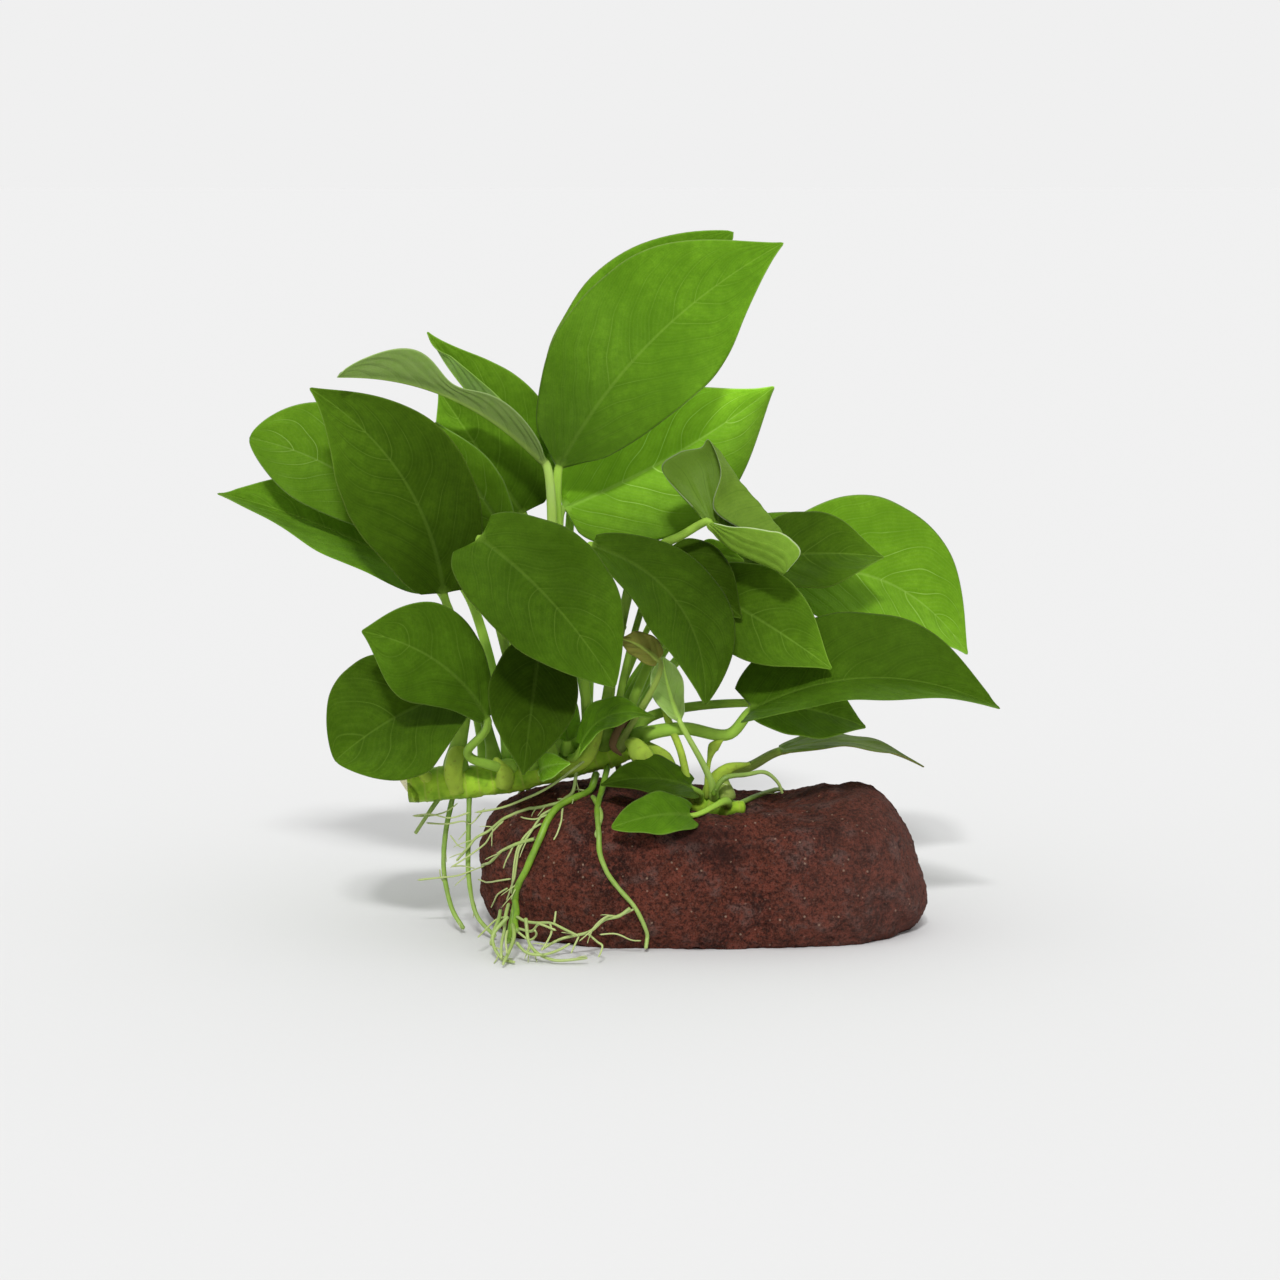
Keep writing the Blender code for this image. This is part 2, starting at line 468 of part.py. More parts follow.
def half_form(leaf, s, hand):
    """How far one half of the blade (0 left, 1 right) reaches at s, and how steeply it rises."""
    early = math.exp(-(s / leaf.settle) ** 2)
    reach = blade_reach(leaf, s) * leaf.halves[hand] * (1 + (leaf.flare[hand] - 1) * early)
    settled = leaf.fold[hand]
    start = (leaf.start_fold or leaf.fold)[hand]
    return reach, math.radians(settled + (start - settled) * early) * min(1.0, reach / FOLD_REACH)


def net_point(leaf, s, t, lift):
    """A point on a blade that has a net: s runs along it and t across it, as for blade_point."""

    def on_net(s, t):
        """The net's point there, or past its ends."""
        inside = min(max(s, 0.0), 1.0)
        row = [route_point([Vector(r[k]) for r in leaf.net], inside) for k in range(5)]
        return route_point(row, min(max((t + 1) / 2, 0.0), 1.0))

    step = 0.02
    across = on_net(s, t + step) - on_net(s, t - step)
    along = on_net(s + step, t) - on_net(s - step, t)
    return on_net(s, t) + lift * across.cross(along).normalized()


def blade_point(leaf, s, t, lift=0.0):
    """A point on the blade, t across it from -1 to 1, raised off its middle surface by lift."""
    if leaf.net:
        return net_point(leaf, s, t, lift)
    place, side, along, up = blade_frame(leaf, s)
    hand = 0 if t < 0 else 1
    sign = 2 * hand - 1
    reach, slope = half_form(leaf, s, hand)
    bend = math.radians(leaf.curl[hand]) + 1e-6
    away = abs(t)
    across = (math.sin(slope + bend * away) - math.sin(slope)) / bend * reach
    rise = (math.cos(slope) - math.cos(slope + bend * away)) / bend * reach
    rise += leaf.ripple * away ** 2 * math.sin(2 * math.pi * (2.3 * s + 0.37 * sign)) * math.sin(math.pi * s)
    back = leaf.lobe[hand] * away ** 1.6 * max(0.0, 1 - s / 0.3) ** 2
    lean = sign * (slope + bend * away) if t else (half_form(leaf, s, 1)[1] - half_form(leaf, s, 0)[1]) / 2
    local_up = math.cos(lean) * up - math.sin(lean) * side
    return place + sign * across * side + rise * up - back * along + lift * local_up


def leaf_rings(leaf):
    """Rings of points from the foot of a leaf's stalk to the tip of its blade."""
    foot, way = foot_place(leaf.foot)
    place, side, along, up = blade_frame(leaf, 0.0)
    points = [foot, *(Vector(p) for p in leaf.via), place]
    start = (way + Vector((0, 0, 0.6))).normalized() * (points[1] - foot).length * 0.7
    stations = SMALL_STALK_STATIONS if leaf.small else STALK_STATIONS
    line = [route_point(points, t, start, along * leaf.bend) for t in stations]
    rings = []
    before = along
    for i in reversed(range(len(line))):
        ahead = line[i + 1] if i + 1 < len(line) else place
        behind = line[i - 1] if i else foot - way
        direction = (ahead - behind).normalized() if i else way
        side = turned(side, before, direction)
        up = turned(up, before, direction)
        before = direction
        radius = leaf.stalk * (1.2 - 0.35 * stations[i])
        ring = []
        for t, hand in LEAF_RING:
            angle = math.radians(90 - 90 * t) if hand >= 0 else math.radians(90 * t - 90)
            ring.append(line[i] + radius * (math.cos(angle) * side + math.sin(angle) * up))
        rings.insert(0, ring)
    stations = SMALL_BLADE_STATIONS if leaf.small else BLADE_STATIONS
    if leaf.net:
        stations = [(k + 0.3 * (k == 0)) / (len(leaf.net) - 1) for k in range(len(leaf.net))]
    for s in stations:
        ring = []
        for t, hand in LEAF_RING:
            thick = LEAF_THICKNESS / 2 * (1 - 0.5 * s) * (1 - 0.5 * abs(t))
            if hand < 0 and t == 0 and not leaf.net:
                thick += RIB_DEPTH * (1 - s)
            ring.append(blade_point(leaf, s, t, hand * thick))
        rings.append(ring)
    return rings


def root_line(root, skin):
    """The points of a root, kept off the stone and laid on it where it clings."""
    points = [Vector(p[:3]) for p in root.route]
    clings = [float(p[3]) for p in root.route]
    line = []
    radii = []
    for i in range(root.steps + 1):
        t = i / root.steps
        point = route_point(points, t)
        radius = mixed(root.radii, t)
        near, out, _, _ = skin.find_nearest(point)
        clear = radius + GAP + 0.3
        height = (point - near).dot(out)
        hold = mixed(clings, t)
        if height < clear or hold > 0.5:
            point = near + out * clear
        point.z = max(point.z, radius + GAP)
        line.append(point)
        radii.append(radius)
    return line, radii


def main():
    """Builds the stone, then what grows on it."""
    for old in list(bpy.data.objects):
        bpy.data.objects.remove(old, do_unlink=True)
    skin = build_stone()[1]
    for rhizome in RHIZOMES:
        build_rhizome(rhizome)
    for leaf in LEAVES:
        make_object(leaf.name, loft(leaf_rings(leaf)), leaf.tone)
    for root in ROOTS:
        line, radii = root_line(root, skin)
        make_object(root.name, loft(tube_rings(line, radii, root.sides)), "root")


main()
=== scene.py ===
"""Dresses the anubias on its stone for the camera: leaves, rhizome, roots, lava stone and a plain studio.

Every piece is grown again, finer, from the routes and sizes that the solids have, so it stays where its
solid is. The rolled leaf and the margins of a few others are shaped more freely here. Lengths are in
millimetres and angles in degrees, until a mesh is made. +X is the plant's right, +Y is its back, +Z is up,
and the origin is in the middle of the stone's flat underside.
"""

import logging
import math
import random
from dataclasses import dataclass
from enum import Enum
from typing import Any, Optional, Sequence

import bmesh
import bpy
from bmesh.types import BMEdge, BMesh
from bpy.types import Material, Node, NodeSocket, NodeTree, Object
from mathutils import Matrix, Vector, noise
from mathutils.bvhtree import BVHTree

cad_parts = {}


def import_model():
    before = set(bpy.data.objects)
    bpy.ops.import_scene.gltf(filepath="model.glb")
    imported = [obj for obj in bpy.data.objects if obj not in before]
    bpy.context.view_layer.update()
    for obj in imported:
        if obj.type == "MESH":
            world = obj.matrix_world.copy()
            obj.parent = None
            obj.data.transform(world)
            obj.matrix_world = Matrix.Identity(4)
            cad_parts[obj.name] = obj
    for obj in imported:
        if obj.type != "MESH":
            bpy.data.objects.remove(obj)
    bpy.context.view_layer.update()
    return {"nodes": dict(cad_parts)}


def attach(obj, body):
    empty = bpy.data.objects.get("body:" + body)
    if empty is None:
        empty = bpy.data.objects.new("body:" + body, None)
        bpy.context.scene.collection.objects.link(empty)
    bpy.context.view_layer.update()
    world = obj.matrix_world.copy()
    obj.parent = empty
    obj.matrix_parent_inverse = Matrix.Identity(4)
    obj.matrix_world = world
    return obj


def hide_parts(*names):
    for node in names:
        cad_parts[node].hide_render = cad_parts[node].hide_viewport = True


MM = 0.001
BODY = "root"
GAP = 0.3  # between a leaf's foot and its rhizome, in the solids

# How a value goes from one end of a range to the other.
EVEN = "LINEAR"
SOFT = "SMOOTHSTEP"

Ring = list[Vector]
Place = tuple[float, float, float]
Route = tuple[tuple[float, ...], ...]
Step = tuple[NodeSocket, float, str]  # where a colour lies, how strongly, and the colour

log = logging.getLogger("anubias")


# ---------------------------------------------------------------------------------------------- helpers


def linear_colour(code: str) -> tuple[float, float, float, float]:
    """An sRGB hex code as linear light.

    Args:
        code: six hex digits.

    Returns:
        Red, green, blue and an alpha of 1.
    """
    channels = [int(code[i:i + 2], 16) / 255 for i in (0, 2, 4)]
    red, green, blue = (c / 12.92 if c <= 0.04045 else ((c + 0.055) / 1.055) ** 2.4 for c in channels)
    return red, green, blue, 1.0


def fill(tree: NodeTree, node: Node, inputs: dict[Any, Any]) -> None:
    """Sets what goes into a node.

    Args:
        tree: where the node is.
        node: the node.
        inputs: for each input, by name or number, a socket to link or a value.
    """
    for key, value in inputs.items():
        if isinstance(value, NodeSocket):
            tree.links.new(value, node.inputs[key])
        else:
            node.inputs[key].default_value = value


def add_node(tree: NodeTree, kind: str, inputs: Optional[dict[Any, Any]] = None, **settings: Any) -> Node:
    """Adds a node to a material or world.

    Args:
        tree: where it goes.
        kind: Blender's name for it, after ShaderNode.
        inputs: for each input, by name or number, a socket to link or a value.
        settings: the node's own settings.

    Returns:
        The node.
    """
    node = tree.nodes.new("ShaderNode" + kind)
    for name, value in settings.items():
        setattr(node, name, value)
    fill(tree, node, inputs or {})
    return node


def new_finish(name: str) -> tuple[Material, NodeTree, Node]:
    """Starts a material.

    Args:
        name: its name.

    Returns:
        The material, its nodes and its shader.
    """
    material = bpy.data.materials.new(name)
    material.use_nodes = True
    tree = material.node_tree
    shader = tree.nodes["Principled BSDF"]
    shader.inputs["Metallic"].default_value = 0.0
    return material, tree, shader


def off_middle(tree: NodeTree, value: NodeSocket) -> NodeSocket:
    """How far a value is from the middle between two whole numbers.

    Args:
        tree: where the nodes go.
        value: the value.

    Returns:
        0 to 0.5.
    """
    part = add_node(tree, "Math", {0: value}, operation="FRACT").outputs[0]
    off = add_node(tree, "Math", {0: part, 1: 0.5}, operation="SUBTRACT").outputs[0]
    return add_node(tree, "Math", {0: off}, operation="ABSOLUTE").outputs[0]


def layered(tree: NodeTree, base: Any, steps: Sequence[Step]) -> NodeSocket:
    """Lays colours over one another.

    Args:
        tree: where the nodes go.
        base: the lowest colour, as a hex code or a socket.
        steps: the colours over it.

    Returns:
        The result.
    """
    colour = linear_colour(base) if isinstance(base, str) else base
    for mask, strength, code in steps:
        share = add_node(tree, "Math", {0: mask, 1: strength}, operation="MULTIPLY").outputs[0]
        colour = add_node(tree, "Mix", {0: share, 6: colour, 7: linear_colour(code)},
                          data_type="RGBA").outputs[2]
    return colour


def smooth_step(x: float) -> float:
    """0 below 0, 1 above 1, and a smooth rise between them."""
    x = min(max(x, 0.0), 1.0)
    return x * x * (3 - 2 * x)


def hump(x: float, width: float) -> float:
    """1 at 0, falling off to both sides over a width."""
    return math.exp(-(x / width) ** 2)


def hermite(p0: Vector, p1: Vector, m0: Vector, m1: Vector, t: float) -> Vector:
    """A point on a cubic.

    Args:
        p0: its start.
        p1: its end.
        m0: its tangent at its start.
        m1: its tangent at its end.
        t: how far along it, from 0 to 1.

    Returns:
        The point.
    """
    a = 2 * t ** 3 - 3 * t ** 2 + 1
    b = t ** 3 - 2 * t ** 2 + t
    return a * p0 + b * m0 + (1 - a) * p1 + (t ** 3 - t ** 2) * m1


def route_point(points: Sequence[Vector], t: float, first: Optional[Vector] = None,
                last: Optional[Vector] = None) -> Vector:
    """A point on a smooth curve through points.

    Args:
        points: what it passes through.
        t: how far along it, from 0 to 1.
        first: its tangent at its start, where that is given.
        last: its tangent at its end, where that is given.

    Returns:
        The point.
    """
    spans = len(points) - 1
    k = min(int(t * spans), spans - 1)
    tangents = []
    for i in (k, k + 1):
        if i == 0:
            tangents.append(first if first is not None else points[1] - points[0])
        elif i == spans:
            tangents.append(last if last is not None else points[-1] - points[-2])
        else:
            tangents.append((points[i + 1] - points[i - 1]) / 2)
    return hermite(points[k], points[k + 1], tangents[0], tangents[1], t * spans - k)


def route_line(route: Route, steps: int) -> list[Vector]:
    """Evenly spaced points on a smooth curve through a route's points."""
    points = [Vector(place) for place in route]
    return [route_point(points, i / steps) for i in range(steps + 1)]


def line_length(line: Sequence[Vector]) -> float:
    """How long a line of points is."""
    return sum((b - a).length for a, b in zip(line, line[1:]))


def mixed(values: Sequence[float], t: float) -> float:
    """A value from a list of evenly spaced ones.

    Args:
        values: the list.
        t: how far along it, from 0 to 1.

    Returns:
        The value there.
    """
    x = t * (len(values) - 1)
    k = min(int(x), len(values) - 2)
    return values[k] + (values[k + 1] - values[k]) * (x - k)


def turned(vector: Vector, old: Vector, new: Vector) -> Vector:
    """A vector carried along as direction old turns to direction new the shortest way."""
    return old.rotation_difference(new) @ vector


def ring_angles(sides: int) -> list[float]:
    """The angles in radians of a ring's points, where it has so many sides."""
    return [2 * math.pi * k / sides for k in range(sides)]


def tube_rings(points: Sequence[Vector], radii: Sequence[float], sides: int) -> list[Ring]:
    """Rings of points round a line of points, carried along it without twist.

    Args:
        points: the line.
        radii: the tube's radius at each of them.
        sides: how many points a ring has.

    Returns:
        A ring for each point of the line.
    """
    rings = []
    last = len(points) - 1
    before = (points[1] - points[0]).normalized()
    side = before.orthogonal().normalized()
    angles = ring_angles(sides)
    for i, (point, radius) in enumerate(zip(points, radii)):
        along = (points[min(i + 1, last)] - points[max(i - 1, 0)]).normalized()
        side = turned(side, before, along)
        before = along
        up = along.cross(side)
        rings.append([point + radius * (math.cos(a) * side + math.sin(a) * up) for a in angles])
    return rings


def roll_skin(bm: BMesh, rings: Sequence[Ring], marks: dict[str, list[list[Vector]]]) -> None:
    """Rolls a grid up through rings of points, merges its seam and draws its two ends together.

    Args:
        bm: where the skin goes.
        rings: the rings, each with as many points as the others.
        marks: for each attribute by name, its value at each point of each ring.
    """
    around = len(rings[0])
    known = bm.verts.layers.float_vector
    layers = {name: known.get(name) or known.new(name) for name in marks}
    verts = bmesh.ops.create_grid(bm, x_segments=around, y_segments=len(rings) - 1, size=1.0)["verts"]
    rows = [verts[k * (around + 1):(k + 1) * (around + 1)] for k in range(len(rings))]
    for k, (row, ring) in enumerate(zip(rows, rings)):
        for i, vert in enumerate(row):
            vert.co = ring[i % around]
            for name, layer in layers.items():
                vert[layer] = marks[name][k][i % around]
    bmesh.ops.weld_verts(bm, targetmap={row[-1]: row[0] for row in rows})
    for row in (rows[0], rows[-1]):
        centre = sum((vert.co for vert in row[:-1]), Vector()) / around
        bmesh.ops.pointmerge(bm, verts=row[:-1], merge_co=centre)


def grow_piece(name: str, bm: BMesh, finish: Material, slot: str) -> Object:
    """Turns a bmesh in millimetres into a piece that stands for its solid.

    Args:
        name: the solid's name.
        bm: its shape, which is used up.
        finish: its material.
        slot: the record's slot for that; not used.

    Returns:
        The piece.
    """
    bmesh.ops.recalc_face_normals(bm, faces=bm.faces)
    bmesh.ops.scale(bm, vec=(MM, MM, MM), verts=bm.verts)
    mesh = bpy.data.meshes.new("grown_" + name)
    bm.to_mesh(mesh)
    bm.free()
    mesh.shade_smooth()
    mesh.materials.append(finish)
    piece = bpy.data.objects.new("grown_" + name, mesh)
    bpy.context.scene.collection.objects.link(piece)
    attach(piece, BODY)
    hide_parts(name)
    log.info("%s: %d faces", piece.name, len(mesh.polygons))
    return piece


# --------------------------------------------------------------------------------------------- finishes


@dataclass(frozen=True)
class LeafSkin:
    """Living leaf under a waxy cuticle: satin, with paler veins above and a duller, greyer underside."""

    name: str
    upper: str
    deep: str
    vein: str
    under: str
    under_vein: str
    # The margin's colour, which also tints the sheen; on the rolled leaf it is near white, a painted
    # highlight.
    margin_and_sheen: str
    stalk: str
    slot: str = ""  # the record's slot, where it isn't named like the green
    roughness: float = 0.42
    blotch: float = 14.0  # spacing of the darker patches
    mottle: float = 2.4  # spacing of the finer ones
    grain: float = 0.55  # spacing of the leaf's cells, drawn coarser than real so that they show
    stray: float = 17.0  # over what length the lateral veins wander
    wander: float = 1.3  # how far they do, as a share of the space between two of them
    fine_veins: float = 5.0  # how many finer veins run in each such space
    laterals: float = 0.3  # how clear the lateral veins are
    gloss: float = 0.1  # low, as the wax is thin and lies over fine cells
    glow: float = 0.15  # how much light soaks through

    def make(self) -> Material:
        """Makes the material from the blade's own coordinates.

        Returns:
            The material.
        """
        material, tree, shader = new_finish(self.name)
        (across, along, side), (course, edge, rib), (tint, _, _) = (
            add_node(tree, "SeparateXYZ", {
                0: add_node(tree, "Attribute", attribute_name=name).outputs["Vector"]}).outputs
            for name in ("blade", "veins", "tint"))
        place = add_node(tree, "TexCoord").outputs["Object"]
        blotch, mottle, grain, stray = (
            add_node(tree, "TexNoise", {"Vector": place, "Scale": 1 / (spacing * MM), "Detail": detail,
                                        "Roughness": rough}).outputs["Fac"]
            for spacing, detail, rough in ((self.blotch, 3.0, 0.5), (self.mottle, 5.0, 0.62),
                                           (self.grain, 2.0, 0.5), (self.stray, 1.0, 0.5)))
        course = add_node(tree, "Math", {0: stray, 1: self.wander, 2: course},
                          operation="MULTIPLY_ADD").outputs[0]
        finer = add_node(tree, "Math", {0: course, 1: self.fine_veins}, operation="MULTIPLY").outputs[0]
        off, fine_off = off_middle(tree, course), off_middle(tree, finer)
        out, rib_off = (add_node(tree, "Math", {0: value}, operation="ABSOLUTE").outputs[0]
                        for value in (across, rib))

        # Each goes from start to end as its value goes from low to high.
        fade, line, groove_shade, seen, fine, ridge, rim, patches, specks, cells, facing, stem, shine = (
            add_node(tree, "MapRange", {0: value, 1: low, 2: high, 3: start, 4: end},
                     interpolation_type=kind).outputs[0]
            for value, low, high, start, end, kind in (
                (out, 0.5, 0.95, 1.0, 0.1, EVEN),  # lateral veins fade towards the margin
                (off, 0.006, 0.028, 1.0, 0.0, SOFT),  # a lateral vein runs where its course passes a half
                (off, 0.0, 0.32, 1.0, 0.0, SOFT),  # the blade sinks towards it, with painted shade in the groove
                (blotch, 0.4, 0.6, 1.0, 0.25, EVEN),  # a vein shows in one place and is lost in another
                (fine_off, 0.05, 0.3, 1.0, 0.0, EVEN),
                (rib_off, 0.25, 0.85, 1.0, 0.0, SOFT),
                (edge, 0.12, 0.45, 1.0, 0.0, EVEN),
                (blotch, 0.38, 0.68, 0.0, 1.0, EVEN),
                (mottle, 0.36, 0.64, 0.0, 1.0, EVEN),
                (grain, 0.3, 0.7, 0.0, 1.0, EVEN),
                (side, -0.25, 0.25, 0.0, 1.0, EVEN),
                (along, -0.03, 0.02, 1.0, 0.0, EVEN),
                (grain, 0.0, 1.0, self.roughness - 0.06, self.roughness + 0.08, EVEN)))
        line, groove_shade = (add_node(tree, "Math", {0: value, 1: fade}, operation="MULTIPLY").outputs[0]
                        for value in (line, groove_shade))
        lateral = add_node(tree, "Math", {0: line, 1: seen}, operation="MULTIPLY").outputs[0]

        top = layered(tree, self.upper, (
            (patches, 0.6, self.deep), (specks, 0.5, self.deep), (groove_shade, 0.4, self.deep),
            (cells, 0.3, self.deep), (fine, 0.05, self.vein), (lateral, self.laterals, self.vein),
            (ridge, 0.25, self.vein), (rim, 0.3, self.margin_and_sheen)))
        bottom = layered(tree, self.under, (
            (specks, 0.4, self.upper), (fine, 0.1, self.under_vein), (lateral, 0.55, self.under_vein),
            (ridge, 0.6, self.stalk), (rim, 0.4, self.margin_and_sheen)))
        colour = add_node(tree, "Mix", {0: facing, 6: bottom, 7: top}, data_type="RGBA").outputs[2]
        streak = add_node(tree, "Mix", {0: patches, 6: linear_colour(self.stalk),
                                        7: linear_colour(self.vein)}, data_type="RGBA").outputs[2]
        colour = add_node(tree, "Mix", {0: stem, 6: colour, 7: streak}, data_type="RGBA").outputs[2]
        # The leaf's painted shade and painted light scale its whole colour.
        colour = add_node(tree, "VectorMath", {0: colour, "Scale": tint}, operation="SCALE").outputs[0]
        relief = add_node(tree, "Math", {0: grain, 1: groove_shade}, operation="SUBTRACT").outputs[0]
        bump = add_node(tree, "Bump", {"Height": relief, "Strength": 0.4, "Distance": 0.2 * MM})
        fill(tree, shader, {
            "Base Color": colour, "Roughness": shine, "Normal": bump.outputs[0],
            "Specular IOR Level": self.gloss, "Specular Tint": linear_colour(self.margin_and_sheen),
            "Subsurface Weight": self.glow, "Subsurface Radius": (0.7, 1.0, 0.25),
            "Subsurface Scale": 0.8 * MM})
        return material


@dataclass(frozen=True)
class RhizomeSkin:
    """Waxy green stem: satin, ringed by the scars of old leaves, with a pale, brown-specked cut."""

    name: str = "waxy_rhizome"
    skin: str = "A6CC3C"
    deep: str = "6F9A28"
    scar: str = "B4B45C"
    cut: str = "DCD8A8"
    husk: str = "5A4630"
    speck: str = "6A5230"
    cloud_spacing: float = 5.0
    speck_spacing: float = 1.1

    def make(self) -> Material:
        """Makes the material from the stem's own coordinates: along it, and what tissue it is.

        Returns:
            The material.
        """
        material, tree, shader = new_finish(self.name)
        ringing, tissue, _ = add_node(tree, "SeparateXYZ", {
            0: add_node(tree, "Attribute", attribute_name="stem").outputs["Vector"]}).outputs
        place = add_node(tree, "TexCoord").outputs["Object"]
        cloud, speck = (
            add_node(tree, "TexNoise", {"Vector": place, "Scale": 1 / (spacing * MM),
                                        "Detail": detail}).outputs["Fac"]
            for spacing, detail in ((self.cloud_spacing, 4.0), (self.speck_spacing, 3.0)))
        clouds, spots, scars, dead = (
            add_node(tree, "MapRange", {0: value, 1: low, 2: high, 3: start, 4: 1.0 - start}).outputs[0]
            for value, low, high, start in (
                (cloud, 0.38, 0.65, 0.0), (speck, 0.6, 0.7, 0.0),
                (off_middle(tree, ringing), 0.02, 0.1, 1.0), (tissue, 1.2, 1.8, 0.0)))
        cut = add_node(tree, "Clamp", {0: tissue}).outputs[0]
        wound = add_node(tree, "Math", {0: tissue, 1: spots}, operation="MULTIPLY").outputs[0]
        # The deep green clouds lie at random, and stand in part for painted shade between the stem's knobs.
        colour = layered(tree, self.skin, (
            (clouds, 0.85, self.deep), (scars, 0.3, self.scar), (spots, 0.3, self.speck),
            (cut, 1.0, self.cut), (wound, 1.0, self.speck), (dead, 1.0, self.husk)))
        bump = add_node(tree, "Bump", {"Height": speck, "Strength": 0.3, "Distance": 0.2 * MM})
        fill(tree, shader, {
            "Base Color": colour, "Roughness": 0.45, "Normal": bump.outputs[0],
            "Specular IOR Level": 0.14, "Specular Tint": linear_colour(self.skin),
            "Subsurface Weight": 0.1, "Subsurface Radius": (0.8, 1.0, 0.3), "Subsurface Scale": 1.5 * MM})
        return material


@dataclass(frozen=True)
class RootSkin:
    """Fresh root: smooth and a little translucent, greenest where it is thick, whitish in its rootlets."""

    name: str = "fresh_root"
    thick: str = "7FA82A"
    thin: str = "BFC98A"
    deep: str = "5F8420"
    cloud_spacing: float = 3.0

    def make(self) -> Material:
        """Makes the material from how thick the root is, and how far from its start.

        Returns:
            The material.
        """
        material, tree, shader = new_finish(self.name)
        radius, along, _ = add_node(tree, "SeparateXYZ", {
            0: add_node(tree, "Attribute", attribute_name="strand").outputs["Vector"]}).outputs
        place = add_node(tree, "TexCoord").outputs["Object"]
        cloud = add_node(tree, "TexNoise", {"Vector": place, "Scale": 1 / (self.cloud_spacing * MM),
                                            "Detail": 3.0}).outputs["Fac"]
        clouds, young, slim = (
            add_node(tree, "MapRange", {0: value, 1: low, 2: high, 3: start, 4: 1.0 - start}).outputs[0]
            for value, low, high, start in (
                (cloud, 0.4, 0.65, 0.0), (along, 0.05, 0.4, 1.0), (radius, 0.25, 0.8, 1.0)))
        colour = layered(tree, self.thick, (
            (clouds, 0.6, self.deep), (young, 0.5, self.deep), (slim, 0.8, self.thin)))
        bump = add_node(tree, "Bump", {"Height": cloud, "Strength": 0.2, "Distance": 0.2 * MM})
        fill(tree, shader, {
            "Base Color": colour, "Roughness": 0.5, "Normal": bump.outputs[0],
            "Subsurface Weight": 0.2, "Subsurface Radius": (0.8, 1.0, 0.4), "Subsurface Scale": 0.8 * MM})
        return material


@dataclass(frozen=True)
class LavaStone:
    """Porous lava, worn smooth: matt and dark red, with black pores, ashen patches and pale grit."""

    name: str = "worn_lava_stone"
    body: str = "613326"
    dark: str = "261411"
    warm: str = "824335"
    ash: str = "68504A"
    grit: str = "A58A76"
    # Near black, for the painted shade in the pores.
    pore: str = "170D0B"
    grit_spacing: float = 1.3
    ashen_side: tuple[float, float] = (15.0, 60.0)  # from where to where on its right it turns ashen

    def make(self) -> Material:
        """Makes the material, with its pores, ridges and patches of painted shade where the mesh has them.

        Returns:
            The material.
        """
        material, tree, shader = new_finish(self.name)
        pores, ridges, painted_shade = add_node(tree, "SeparateXYZ", {
            0: add_node(tree, "Attribute", attribute_name="pores").outputs["Vector"]}).outputs
        place = add_node(tree, "TexCoord").outputs["Object"]
        patch, tint, sand, coarse = (
            add_node(tree, "TexNoise", {"Vector": place, "Scale": 1 / (spacing * MM), "Detail": detail,
                                        "Roughness": rough}).outputs["Fac"]
            for spacing, detail, rough in (
                (16.0, 5.0, 0.6), (6.0, 5.0, 0.65),
                (0.5, 3.0, 0.75), (1.1, 4.0, 0.65)))  # sand and crumbs, coarser than real so that they show
        crumb = add_node(tree, "TexVoronoi", {"Vector": place, "Scale": 1 / (self.grit_spacing * MM)})
        pick = add_node(tree, "SeparateColor", {0: crumb.outputs["Color"]}).outputs[0]
        x = add_node(tree, "SeparateXYZ", {0: place}).outputs[0]
        patches, tints, grains, dusts, lumps, crests, right, rare, near = (
            add_node(tree, "MapRange", {0: value, 1: low, 2: high}).outputs[0]
            for value, low, high in (
                (patch, 0.46, 0.66), (tint, 0.45, 0.68), (sand, 0.52, 0.66), (sand, 0.47, 0.33),
                (coarse, 0.5, 0.62), (coarse, 0.46, 0.38), (x, *(end * MM for end in self.ashen_side)),
                (pick, 0.9, 0.94), (crumb.outputs["Distance"], 0.3, 0.15)))
        flecks = add_node(tree, "Math", {0: rare, 1: near}, operation="MULTIPLY").outputs[0]
        # The pores are darkened with painted shade, the more the deeper they are.
        colour = layered(tree, self.body, (
            (patches, 0.75, self.dark), (tints, 0.6, self.warm), (ridges, 0.8, self.ash),
            (lumps, 0.75, self.dark), (crests, 0.55, self.warm), (grains, 0.8, self.dark),
            (dusts, 0.5, self.ash), (flecks, 0.7, self.grit), (right, 0.3, self.ash),
            (pores, 0.5, self.pore), (painted_shade, 0.75, self.dark)))
        heap = add_node(tree, "Math", {0: sand, 1: coarse}, operation="ADD").outputs[0]
        rough = add_node(tree, "Bump", {"Height": heap, "Strength": 0.9, "Distance": 0.8 * MM})
        fill(tree, shader, {"Base Color": colour, "Roughness": 0.92, "Normal": rough.outputs[0],
                            "Specular IOR Level": 0.15})
        return material


@dataclass(frozen=True)
class StudioPaper:
    """Matt white paper: no gloss, so the floor stays even up to the horizon."""

    name: str = "matt_paper"
    colour: str = "DFDFDF"
    mottle: str = "DEDEDE"
    fibre_spacing: float = 2.0

    def make(self) -> Material:
        """Makes the material.

        Returns:
            The material.
        """
        material, tree, shader = new_finish(self.name)
        place = add_node(tree, "TexCoord").outputs["Object"]
        fibre = add_node(tree, "TexNoise", {"Vector": place, "Scale": 1 / (self.fibre_spacing * MM),
                                            "Detail": 2.0}).outputs["Fac"]
        colour = layered(tree, self.colour, ((fibre, 1.0, self.mottle),))
        fill(tree, shader, {"Base Color": colour, "Roughness": 1.0, "Specular IOR Level": 0.0})
        return material


